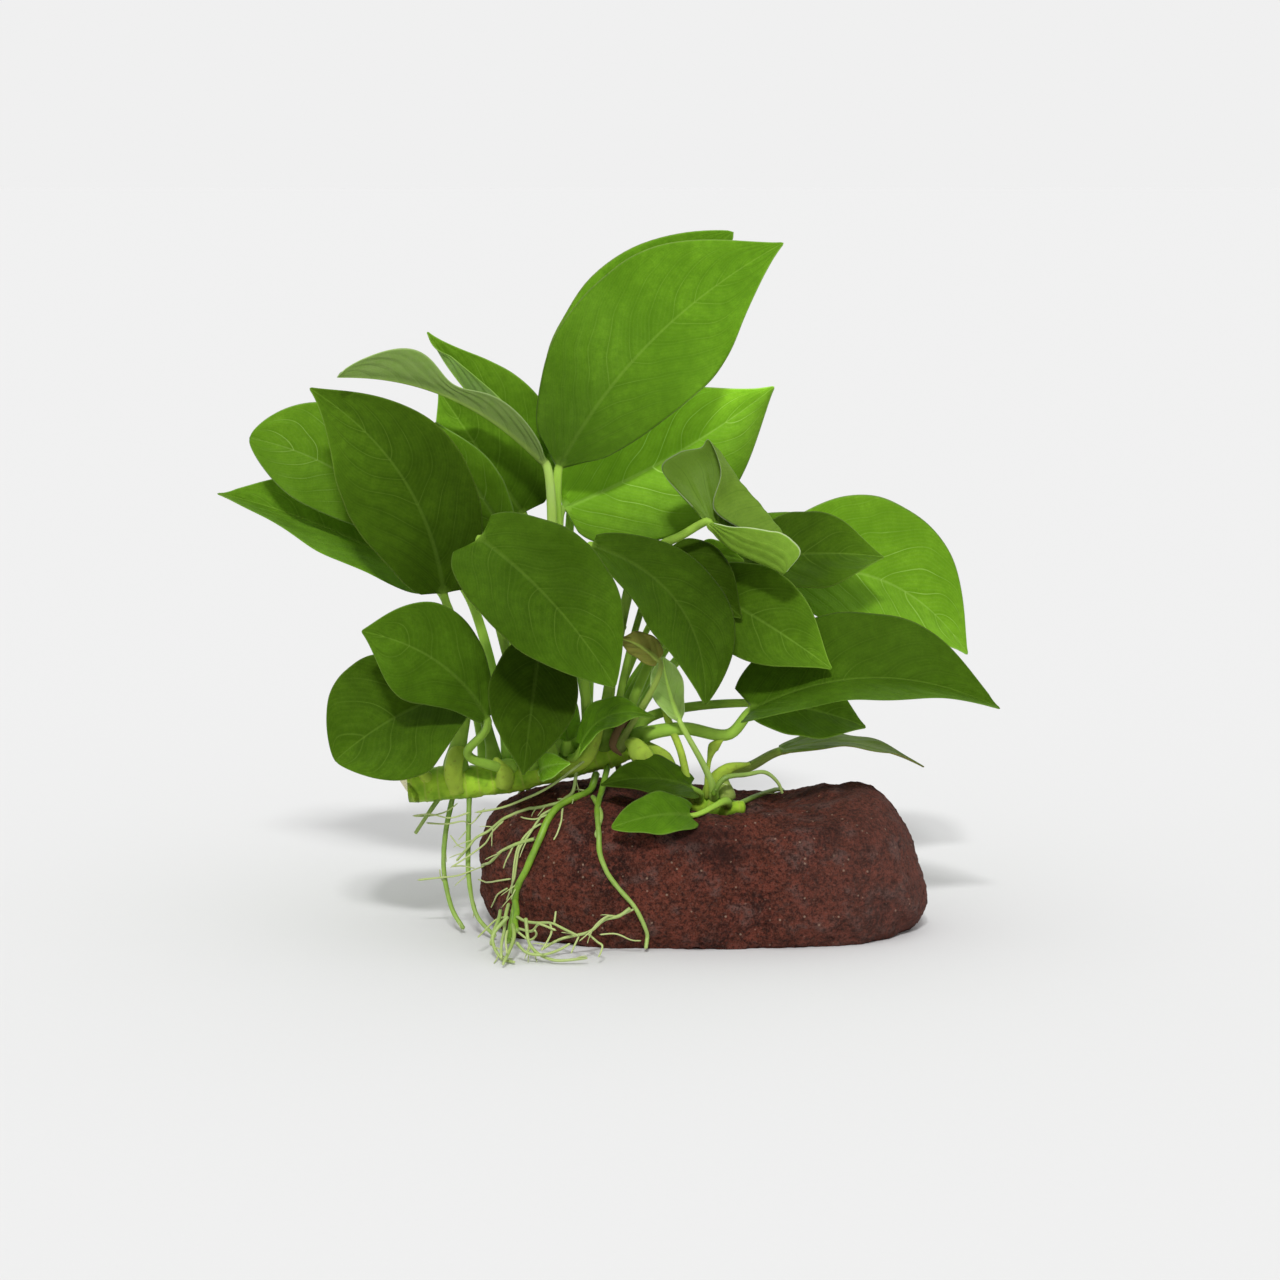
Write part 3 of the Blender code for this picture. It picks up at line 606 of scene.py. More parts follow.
class Tone(Enum):
    """The greens that the leaves come in. How dark or bright a leaf's green is stands in part for painted
    shade and painted light on it.
    """

    DARK = LeafSkin("dark_leaf", "4A6A14", "324C0B", "6E8E34", "5A783C", "3C5A20", "7C9A3C", "98BE48")
    MID = LeafSkin("mid_green_leaf", "5B831B", "40610F", "82A63E", "6E8B48", "4A6826", "8CAE4C", "9AC24A")
    FRESH = LeafSkin("fresh_leaf", "6EA021", "507C14", "92BA48", "7EA34C", "567A2A", "A8C868", "A0C84C")
    BRIGHT = LeafSkin("bright_leaf", "7FB228", "629218", "A8D062", "92B654", "6A9030", "B8D884", "A6D050",
                      laterals=0.7)
    PALE = LeafSkin("pale_leaf", "6E9434", "597A26", "A6C46C", "829C54", "526F2C", "B4C890", "A8CA58")
    OLIVE = LeafSkin("olive_leaf", "627A2E", "4C6022", "8A9A50", "7C7A38", "5C4A28", "6E5A34", "98B050")
    # The rolled leaf's near-white margin colour is a painted highlight: the sheen along its rolled rim.
    ROLLED = LeafSkin("rolled_leaf", "5E7F22", "6A8D2D", "3F5C14", "759831", "4E7020", "E4EAD0", "9CC24A",
                      slot="pale", laterals=0.75)

    @property
    def slot(self) -> str:
        """The record's slot for this green."""
        return "leaf_" + (self.value.slot or self.name.lower())


# ----------------------------------------------------------------------------------------------- pieces


@dataclass
class Station:
    """Where a blade is at one place along it: its midrib, its directions and each half's form."""

    s: float
    place: Vector
    side: Vector
    along: Vector
    up: Vector
    reach: tuple[float, float]
    slope: tuple[float, float]


class Tissue(Enum):
    """What a part of a rhizome is made of, as its material reads it."""

    GREEN = 0
    CUT = 1
    WITHERED = 2


@dataclass
class Scale:
    """A scale, sheath or bud that sits on a rhizome: its points, with half its width at each."""

    route: Route
    widths: tuple[float, ...]
    tissue: Tissue = Tissue.GREEN
    thickness: float = 0.3
    steps: int = 24
    sides: int = 12

    CUP = 0.35  # how far a flat scale's margins bend back, as a share of half its width

    def grow(self, bm: BMesh) -> None:
        """Adds the scale to its rhizome's skin.

        Args:
            bm: where it goes.
        """
        line = route_line(self.route, self.steps)
        rings = []
        for i, point in enumerate(line):
            along = (line[min(i + 1, self.steps)] - line[max(i - 1, 0)]).normalized()
            side = along.cross(Vector((0, -1, 0))).normalized()
            out = side.cross(along)
            width = mixed(self.widths, i / self.steps)
            thick = min(self.thickness, width)
            cup = self.CUP * (width - thick)
            rings.append([point + width * math.cos(a) * side
                          + (thick * math.sin(a) - cup * math.cos(a) ** 2) * out
                          for a in ring_angles(self.sides)])
        mark = Vector((0.5, self.tissue.value, 0))
        roll_skin(bm, rings, {"stem": [[mark] * self.sides] * len(rings)})


@dataclass
class Rhizome:
    """A creeping stem: the points that it runs through, with its radius at each."""

    name: str
    route: Route
    radii: tuple[float, ...]
    cut: tuple[float, float] = (0.0, 0.0)  # how its old end's cut slopes, upwards and backwards
    sides: int = 40
    steps: int = 130
    scar_spacing: float = 3.7
    lump: float = 0.5  # how far it is from round
    scales: tuple[Scale, ...] = ()

    LUMP_SPACING = 3.4
    RING = 0.02  # how much thicker it is at a leaf scar, as a share of its radius
    SCAR_SWAY = 0.06  # how far a scar strays from straight round, as a share of their spacing
    TIP = 0.04  # the share of its length that its growing tip rounds off in
    HOLLOW = 0.25  # how deep the cut face is
    ROUND = 0.35  # how far its edge is rounded off

    def centre(self, t: float) -> Vector:
        """The middle of the stem at t (0 to 1)."""
        return route_point([Vector(p) for p in self.route], t)

    def build(self, finish: Material) -> Object:
        """Grows the stem, ringed by the scars of old leaves.

        Args:
            finish: its material.

        Returns:
            The piece.
        """
        line = route_line(self.route, self.steps)
        length = line_length(line)
        radii = []
        turns = []
        for i in range(self.steps + 1):
            t = i / self.steps
            # How many scars it has passed. They drift a little from an even spacing.
            turn = t * length / self.scar_spacing + 0.35 * math.sin(5 * t)
            off = abs(turn % 1.0 - 0.5)
            ring = self.RING * (hump(off, 0.07) - hump(off - 0.2, 0.12))
            end = math.sqrt(max(0.0, 1 - max(0.0, 1 - (1 - t) / self.TIP) ** 2))
            radii.append(max(mixed(self.radii, t) * (1.0 + ring) * end, 0.05))
            turns.append(turn)
        rings = tube_rings(line, radii, self.sides)
        for ring, centre in zip(rings, line):
            for point in ring:
                out = point - centre
                point += out.normalized() * self.lump * noise.noise(point / self.LUMP_SPACING)
        for point in rings[0]:
            point.x -= (point.z - line[0].z) * self.cut[0] + (point.y - line[0].y) * self.cut[1]
        # The cut face: rings drawn in to the middle of the end, a little hollow, and a rim that rounds it.
        middle = sum(rings[0], Vector()) / self.sides
        face = [[middle + (p - middle) * f + Vector((self.HOLLOW * (1 - f), 0, 0)) for p in rings[0]]
                for f in (0.03, 0.3, 0.6, 0.85)]
        face.append([middle + (p - middle) * 0.96 for p in rings[0]])
        marks = [[Vector((0, Tissue.CUT.value, 0))] * self.sides] * len(face)
        marks += [[Vector((turn + self.SCAR_SWAY * math.sin(a), Tissue.GREEN.value, 0))
                   for a in ring_angles(self.sides)] for turn in turns]
        rings[0] = [p + Vector((self.ROUND, 0, 0)) for p in rings[0]]
        bm = bmesh.new()
        roll_skin(bm, face + rings, {"stem": marks})
        for scale in self.scales:
            scale.grow(bm)
        return grow_piece(self.name, bm, finish, "rhizome_skin")


@dataclass
class Leaf:
    """A leaf, stalk and blade. The blade's left is at -1 when its upper side is looked at, tip up."""

    name: str
    tone: Tone
    foot: tuple[str, float, float]  # rhizome's name, how far along it, and angle from the top to the front
    base: Place  # where stalk and blade meet
    tip: Place
    face: Place  # the way that the upper side looks
    width: float
    arch: float = 3.0  # how far the middle of the midrib bows to the upper side
    sway: float = 0.0  # how far it bows to the right
    fold: tuple[float, float] = (12.0, 12.0)  # how steeply the left and right halves rise
    start_fold: Optional[tuple[float, float]] = None  # the same next to the stalk, where that differs
    settle: float = 0.22  # how soon the first fold gives way to the other
    flare: tuple[float, float] = (1.0, 1.0)  # how much wider each half starts than it goes on
    belly: float = 0.38  # where the blade is widest
    lobe: tuple[float, float] = (4.0, 4.0)  # how far back the lobes beside the stalk reach
    halves: tuple[float, float] = (1.0, 1.0)  # how wide the left and right halves are for that width
    pinch: tuple[float, float] = (0.0, 0.5)  # how much narrower it is where it is pinched, and where
    blunt: float = 0.0  # 0 is a pointed tip, 1 a round one
    ripple: float = 0.6  # how high its margins wave
    stalk: float = 1.25  # mean radius of the stalk
    via: tuple[Place, ...] = ()  # points that the stalk passes through
    bend: float = 16.0  # how gently the stalk turns into the blade
    tint: tuple[float, ...] = (1.0, 1.0)  # how bright its green is from the stalk to the tip: partly its age, partly painted shade and painted light
    painted_side_light: float = 0.0  # painted light and shade: how much brighter its right half is than that, and its left half darker
    small: bool = False  # a small or half hidden leaf, made of fewer faces

    # What all leaves share: sizes, and where a thing ends as a share of the blade's length.
    HALF_THICKNESS = 0.27
    FOLD_REACH = 2.5  # where a blade is narrower than this to each side, it folds less
    MARGIN_SPAN = 0.35  # half width of a blade's blunt ends
    VEIN_SPACING = 8.0
    PUFF = 0.09  # how far the blade swells between its lateral veins
    WAVE = 0.55  # how far it strays from its even form
    WAVES = 2.3  # how many waves its margins have
    FIRST_STATION = 0.03  # where the blade has opened out from its stalk
    LOBE_END = 0.3
    ROUNDING = 0.09  # how far the corners beside the stalk are rounded off, as a share of the width
    CORNER_END = 0.12
    PINCH_SPAN = 0.13
    ROUGH_EDGE = 0.018  # how unevenly a margin runs, as a share of the half width
    OPENING_RINGS = 7  # how many steps lead from the stalk to the open blade
    FOOT_SWELL = 0.55  # how much thicker a stalk is at its foot, as a share of its radius
    FOOT_LENGTH = 5.5
    SINK = 1.6  # how far inside its rhizome a stalk starts
    CHANNEL = 0.22  # how deep the channel along a stalk's upper side is, as a share of its radius
    CHANNEL_SPREAD = 34.0  # how wide it is
    NO_RIB = 5.0  # a distance from rib and margin at which neither shows
    NECK_SPAN = 3.0  # how wide each half is taken to be where it opens
    # How many steps there are across the blade, along it and along the stalk, and in small leaves.
    STEPS = ((56, 72, 30), (36, 40, 16))

    def seed(self) -> float:
        """A number of this leaf's own, which shifts its patterns."""
        return sum(ord(c) * (i + 3) for i, c in enumerate(self.name)) % 97 / 9.7

    def foot_place(self, rhizomes: dict[str, Rhizome]) -> tuple[Vector, Vector]:
        """Where the stalk leaves its rhizome.

        Args:
            rhizomes: the rhizomes by name.

        Returns:
            The point and the way that the stalk sets out.
        """
        name, along, angle = self.foot
        rhizome = rhizomes[name]
        ahead = (rhizome.centre(min(along + 0.02, 1)) - rhizome.centre(max(along - 0.02, 0))).normalized()
        front = Vector((0, -1, 0))
        front = (front - ahead * front.dot(ahead)).normalized()
        up = front.cross(ahead)
        if up.z < 0:
            up = -up
        way = math.cos(math.radians(angle)) * up + math.sin(math.radians(angle)) * front
        return rhizome.centre(along) + way * (mixed(rhizome.radii, along) + GAP), way

    def half_form(self, s: float, hand: int) -> tuple[float, float]:
        """The form of one half of the blade.

        Args:
            s: how far along it, from 0 at the stalk to 1 at the tip.
            hand: which half, 0 for the left and 1 for the right.

        Returns:
            How far it reaches from the midrib, and how steeply it rises in radians.
        """
        bulge = math.sin(math.pi * min(s, 1.0) ** (math.log(0.5) / math.log(self.belly)))
        power = 0.55 + (0.6 - 0.5 * self.blunt) * s
        span = self.MARGIN_SPAN + (self.width / 2 - self.MARGIN_SPAN) * max(bulge, 0.0) ** power
        early = hump(s, self.settle)
        reach = span * self.halves[hand] * (1 + (self.flare[hand] - 1) * early)
        reach *= 1 - self.pinch[0] * hump(s - self.pinch[1], self.PINCH_SPAN)
        settled = self.fold[hand]
        start = (self.start_fold or self.fold)[hand]
        slope = math.radians(settled + (start - settled) * early) * min(1.0, reach / self.FOLD_REACH)
        reach *= 1 + self.ROUGH_EDGE * noise.noise(Vector((s * 8, self.seed(), hand * 5.0)))
        return reach, slope

    def station(self, s: float) -> Station:
        """The blade's form at one place along it.

        Args:
            s: how far along, from 0 at the stalk to 1 at the tip.

        Returns:
            The form.
        """
        base, tip = Vector(self.base), Vector(self.tip)
        chord = (tip - base).normalized()
        up = Vector(self.face)
        up = (up - chord * up.dot(chord)).normalized()
        side = chord.cross(up)
        middle = (base + tip) / 2 + 2 * (self.arch * up + self.sway * side)
        place = (1 - s) ** 2 * base + 2 * s * (1 - s) * middle + s ** 2 * tip
        along = ((1 - s) * (middle - base) + s * (tip - middle)).normalized()
        up = turned(up, chord, along)
        reach, slope = zip(self.half_form(s, 0), self.half_form(s, 1))
        return Station(s, place, along.cross(up), along, up, reach, slope)

    def course(self, s: float, t: float) -> float:
        """Which lateral vein passes a point: a whole number and a half on the middle of each.

        Args:
            s: how far along the blade it is.
            t: how far across, from -1 to 1.

        Returns:
            The number.
        """
        length = (Vector(self.tip) - Vector(self.base)).length
        count = max(4.0, length / self.VEIN_SPACING)
        away = abs(t)
        return count * (s - 0.2 * away - 0.2 * away ** 2 + 0.03 * t) + self.seed()

    def point(self, at: Station, t: float, side: int) -> Vector:
        """A point on the blade's skin.

        Args:
            at: the blade's form there.
            t: place across it, from -1 to 1.
            side: 1 for the upper side, -1 for the underside, 0 for the margin.

        Returns:
            The point.
        """
        s = at.s
        hand = 0 if t < 0 else 1
        sign = 2 * hand - 1
        reach, slope = at.reach[hand], at.slope[hand]
        away = abs(t)
        rise = math.sin(slope) * away * reach
        wave = math.sin(2 * math.pi * (self.WAVES * s + 0.37 * sign)) * math.sin(math.pi * s)
        rise += self.ripple * away ** 2 * wave
        back = self.lobe[hand] * away ** 1.6 * max(0.0, 1 - s / self.LOBE_END) ** 2
        corner = max(0.0, (away - 0.4) / 0.6) ** 2 * max(0.0, 1 - s / self.CORNER_END) ** 2
        back -= self.ROUNDING * self.width * corner
        # The skin leans one way on the left half and the other on the right, and turns over at the midrib.
        lean = mixed((-at.slope[0], at.slope[1]), smooth_step(0.5 + t * reach / 3.0))
        normal = math.cos(lean) * at.up - math.sin(lean) * at.side
        point = at.place + math.cos(slope) * t * reach * at.side + rise * at.up - back * at.along
        return point + self.lift(at, t, side) * normal

    def lift(self, at: Station, t: float, side: int) -> float:
        """How far the skin stands off the blade's middle surface.

        Args:
            at: the blade's form there.
            t: place across it, from -1 to 1.
            side: 1 for the upper side, -1 for the underside, 0 for the margin.

        Returns:
            The height, towards the upper side.
        """
        s, away = at.s, abs(t)
        reach = at.reach[0 if t < 0 else 1]
        # Tissue swells a little between the lateral veins, and the whole blade is a little uneven.
        puff = self.PUFF * math.cos(2 * math.pi * self.course(s, t))
        puff *= smooth_step((away - 0.03) / 0.2) * smooth_step((1 - away) / 0.3)
        puff *= smooth_step((1 - s) / 0.15)
        wave = self.WAVE * noise.noise(Vector((s * 3.4, t * 1.6, self.seed()))) * smooth_step(away / 0.4)
        height = side * self.HALF_THICKNESS * (1 - 0.4 * s) * (1 - 0.35 * away ** 4)
        height += puff + wave * min(1.0, reach / 8)
        rib = self.stalk * 0.85 * (1 - s) ** 0.8 + 0.12
        if side < 0:
            return height - 0.85 * rib * math.exp(-1.6 * (t * reach / rib) ** 2)
        return height - 0.16 * hump(t * reach, 0.5) * (1 - s)

    def shade(self, s: float, t: float) -> float:
        """How bright the green is at s along and t across, with its painted shade and painted light. The
        stalk, below 0, keeps its own.
        """
        bright = mixed(self.tint, max(s, 0.0)) * (1 + self.painted_side_light * t)
        return 1 + (bright - 1) * smooth_step((s + 0.08) / 0.1)

    def stalk_rings(self, rhizomes: dict[str, Rhizome],
                    turns: Sequence[tuple[float, int]]) -> tuple[list[Ring], list[list[Vector]]]:
        """Rings of points along the stalk, from inside the rhizome to the blade.

        Args:
            rhizomes: the rhizomes by name.
            turns: for each point of a ring, its place across the blade and its side.

        Returns:
            The rings, and for each point how far across it is, how far along (below 0) and its side.
        """
        foot, way = self.foot_place(rhizomes)
        at = self.station(0.0)
        points = [foot, *(Vector(p) for p in self.via), at.place]
        start = (way + Vector((0, 0, 0.6))).normalized() * (points[1] - foot).length * 0.7
        steps = self.STEPS[self.small][2]
        stations = [i / steps for i in range(steps + 1)]
        line = [route_point(points, t, start, at.along * self.bend) for t in stations]
        length = line_length(line)
        line.insert(0, foot - way * self.SINK)
        stations.insert(0, -0.02)
        rings: list[Ring] = []
        marks: list[list[Vector]] = []
        side, up, before = at.side, at.up, at.along
        for i in reversed(range(len(line))):
            ahead = line[i + 1] if i + 1 < len(line) else line[i] + at.along
            behind = line[i - 1] if i else line[i] - way
            direction = (ahead - behind).normalized()
            side = turned(side, before, direction)
            up = turned(up, before, direction)
            before = direction
            t = max(stations[i], 0.0)
            radius = self.stalk * (1.2 - 0.35 * t)
            radius *= 1 + self.FOOT_SWELL * hump(t * length, self.FOOT_LENGTH)
            ring = []
            for across, hand in turns:
                angle = math.radians(90 - 90 * across) if hand >= 0 else math.radians(90 * across - 90)
                off = math.degrees(angle - math.pi / 2)
                groove = 1 - self.CHANNEL * hump(off, self.CHANNEL_SPREAD) * t
                ring.append(line[i] + radius * (math.cos(angle) * side + groove * math.sin(angle) * up))
            rings.insert(0, ring)
            marks.insert(0, [Vector((across, stations[i] - 1.02, hand)) for across, hand in turns])
        return rings, marks

    def build(self, rhizomes: dict[str, Rhizome], finish: Material) -> Object:
        """Grows the leaf, from its foot in the rhizome to its tip.

        Args:
            rhizomes: the rhizomes by name.
            finish: its material.

        Returns:
            The piece.
        """
        half, steps, _ = self.STEPS[self.small]
        shares = [2 * i / half - 1 for i in range(half + 1)]
        # The points stand closer together at the midrib.
        shares = [x * (0.62 + 0.7 * x * x - 0.32 * x ** 4) for x in shares]
        turns = [(t, 0 if abs(t) > 0.999 else 1) for t in shares]
        turns += [(t, -1) for t in reversed(shares[1:-1])]
        rings, blades = self.stalk_rings(rhizomes, turns)
        veins = [[Vector((0, self.NO_RIB, self.NO_RIB)) for _ in turns] for _ in rings]
        neck = rings[-1]
        opening = self.station(self.FIRST_STATION)
        opened = [self.point(opening, t, side) for t, side in turns]
        for k in range(1, self.OPENING_RINGS):
            part = k / self.OPENING_RINGS
            share = smooth_step(part) * 0.6 + part * 0.4
            rings.append([a.lerp(b, share) for a, b in zip(neck, opened)])
            blades.append([Vector((t, self.FIRST_STATION * part, side)) for t, side in turns])
            veins.append([Vector((self.course(0.0, t), self.NECK_SPAN, t * self.NECK_SPAN * share))
                          for t, _ in turns])
        for k in range(steps + 1):
            x = k / steps
            s = self.FIRST_STATION + (1 - self.FIRST_STATION) * (0.45 * x + 0.55 * x * x * (3 - 2 * x))
            at = self.station(s)
            rings.append([self.point(at, t, side) for t, side in turns])
            blades.append([Vector((t, s, side)) for t, side in turns])
            spans = [at.reach[0 if t < 0 else 1] for t, _ in turns]
            veins.append([Vector((self.course(s, t), (1 - abs(t)) * span, t * span / (1.15 - s)))
                          for (t, _), span in zip(turns, spans)])
        # Each point's brightness, which carries the leaf's painted shade and painted light.
        tints = [[Vector((self.shade(mark.y, mark.x), 0, 0)) for mark in row] for row in blades]
        bm = bmesh.new()
        roll_skin(bm, rings, {"blade": blades, "veins": veins, "tint": tints})
        return grow_piece(self.name, bm, finish, self.tone.slot)


@dataclass
class RolledLeaf(Leaf):
    """A young leaf that is still rolled up: its blade is given as a net of points."""

    net: tuple[Route, ...] = ()  # rows from its base to its tip, five points across each

    STEP = 0.02  # how far apart the points are that its slopes are read from

    def on_net(self, s: float, t: float) -> Vector:
        """A point of the net.

        Args:
            s: how far along it, from 0 to 1.
            t: how far across it, from -1 to 1.

        Returns:
            The point.
        """
        inside = min(max(s, 0.0), 1.0)
        row = [route_point([Vector(r[k]) for r in self.net], inside) for k in range(5)]
        return route_point(row, min(max((t + 1) / 2, 0.0), 1.0))

    def station(self, s: float) -> Station:
        """The net's form at one place along it.

        Args:
            s: how far along, from 0 at the stalk to 1 at the tip.

        Returns:
            The form.
        """
        along = (self.on_net(s + self.STEP, 0) - self.on_net(s - self.STEP, 0)).normalized()
        across = self.on_net(s, self.STEP) - self.on_net(s, -self.STEP)
        up = across.cross(along).normalized()
        reach = tuple((self.on_net(s, hand * 0.5) - self.on_net(s, 0)).length
                      + (self.on_net(s, hand) - self.on_net(s, hand * 0.5)).length for hand in (-1, 1))
        return Station(s, self.on_net(s, 0), along.cross(up), along, up, reach, (0.0, 0.0))

    def course(self, s: float, t: float) -> float:
        """Which vein passes here: up its left half from the base, and along its right."""
        return (13 * s if t < 0 else 4.6 * t) + self.seed()

    def point(self, at: Station, t: float, side: int) -> Vector:
        """A point on the net's skin.

        Args:
            at: the net's form there.
            t: place across it, from -1 to 1.
            side: 1 for the upper side, -1 for the underside, 0 for the margin.

        Returns:
            The point.
        """
        across = self.on_net(at.s, t + self.STEP) - self.on_net(at.s, t - self.STEP)
        along = self.on_net(at.s + self.STEP, t) - self.on_net(at.s - self.STEP, t)
        return self.on_net(at.s, t) + self.lift(at, t, side) * across.cross(along).normalized()


@dataclass
class Strand:
    """A rootlet: its points, with 1 where it clings to the stone, and its end radii."""

    route: Route
    radii: tuple[float, float] = (0.32, 0.16)


@dataclass
class Root:
    """A root with its rootlets: its points, with 1 where it clings to the stone, and its end radii."""

    name: str
    route: Route
    radii: tuple[float, float]
    strands: tuple[Strand, ...] = ()
    hairs: int = 0  # how many short rootlets it bears besides
    sides: int = 12
    steps: int = 70

    CLEARANCE = 0.1  # how far roots stay off the stone and the floor
    TIP = 0.55  # how thick the last ring is, as a share of the end radius
    STRAND_STEPS = 6  # for each point of a rootlet's route
    STRAND_SIDES = 6
    HAIR_RADII = (0.22, 0.1)
    HAIR_LENGTHS = (2.0, 5.5)
    HAIR_STEPS = 9
    HAIR_SIDES = 5

    def line(self, route: Route, radii: tuple[float, float], steps: int,
             skin: BVHTree) -> tuple[list[Vector], list[float]]:
        """The points of a root, kept off the stone and laid on it where it clings.

        Args:
            route: the points that it passes through.
            radii: its radius at both ends.
            steps: how many steps it has.
            skin: finds the stone's skin.

        Returns:
            Its points, and its radius at each.
        """
        points = [Vector(p[:3]) for p in route]
        clings = [float(p[3]) for p in route]
        made, sizes = [], []
        for i in range(steps + 1):
            t = i / steps
            point = route_point(points, t)
            radius = mixed(radii, t)
            near, out, _, _ = skin.find_nearest(point)
            clear = radius + self.CLEARANCE
            hold = smooth_step(mixed(clings, t) * 2 - 0.5)
            height = (point - near).dot(out)
            laid = near + out * clear
            point = point.lerp(laid, max(hold, 1.0 if height < clear else 0.0))
            point.z = max(point.z, clear)
            made.append(point)
            sizes.append(radius * (1 + 0.12 * noise.noise(point / 2.3)))
        for _ in range(2):
            made[1:-1] = [(a + 2 * b + c) / 4 for a, b, c in zip(made, made[1:], made[2:])]
        return made, sizes

    def grow(self, bm: BMesh, line: list[Vector], sizes: list[float], sides: int) -> None:
        """Adds one strand to the root, with a rounded tip.

        Args:
            bm: where it goes.
            line: its points.
            sizes: its radius at each.
            sides: how many sides it has.
        """
        sizes[-1] *= self.TIP
        rings = tube_rings(line, sizes, sides)
        marks = [[Vector((size, i / len(sizes), 0))] * sides for i, size in enumerate(sizes)]
        roll_skin(bm, rings, {"strand": marks})

    def build(self, skin: BVHTree, finish: Material) -> Object:
        """Grows the root, then its rootlets.

        Args:
            skin: finds the stone's skin.
            finish: its material.

        Returns:
            The piece.
        """
        bm = bmesh.new()
        line, sizes = self.line(self.route, self.radii, self.steps, skin)
        self.grow(bm, line, sizes, self.sides)
        for strand in self.strands:
            steps = self.STRAND_STEPS * len(strand.route)
            self.grow(bm, *self.line(strand.route, strand.radii, steps, skin), self.STRAND_SIDES)
        chance = random.Random(self.name)
        for _ in range(self.hairs):
            k = chance.randrange(4, len(line) - 3)
            start = line[k]
            ahead = (line[k + 1] - line[k - 1]).normalized()
            spread = Vector((chance.uniform(-1, 1), chance.uniform(-1, 0.4), chance.uniform(-0.6, 0.5)))
            way = (spread - ahead * spread.dot(ahead) + 0.5 * ahead).normalized()
            reach = chance.uniform(*self.HAIR_LENGTHS)
            bow = Vector((chance.uniform(-1, 1), chance.uniform(-1, 1), -1.2)) * reach * 0.18
            route = tuple((*(start + way * reach * f + bow * f * f), 0.0) for f in (0.0, 0.35, 0.7, 1.0))
            self.grow(bm, *self.line(route, self.HAIR_RADII, self.HAIR_STEPS, skin), self.HAIR_SIDES)
        return grow_piece(self.name, bm, finish, "root_skin")


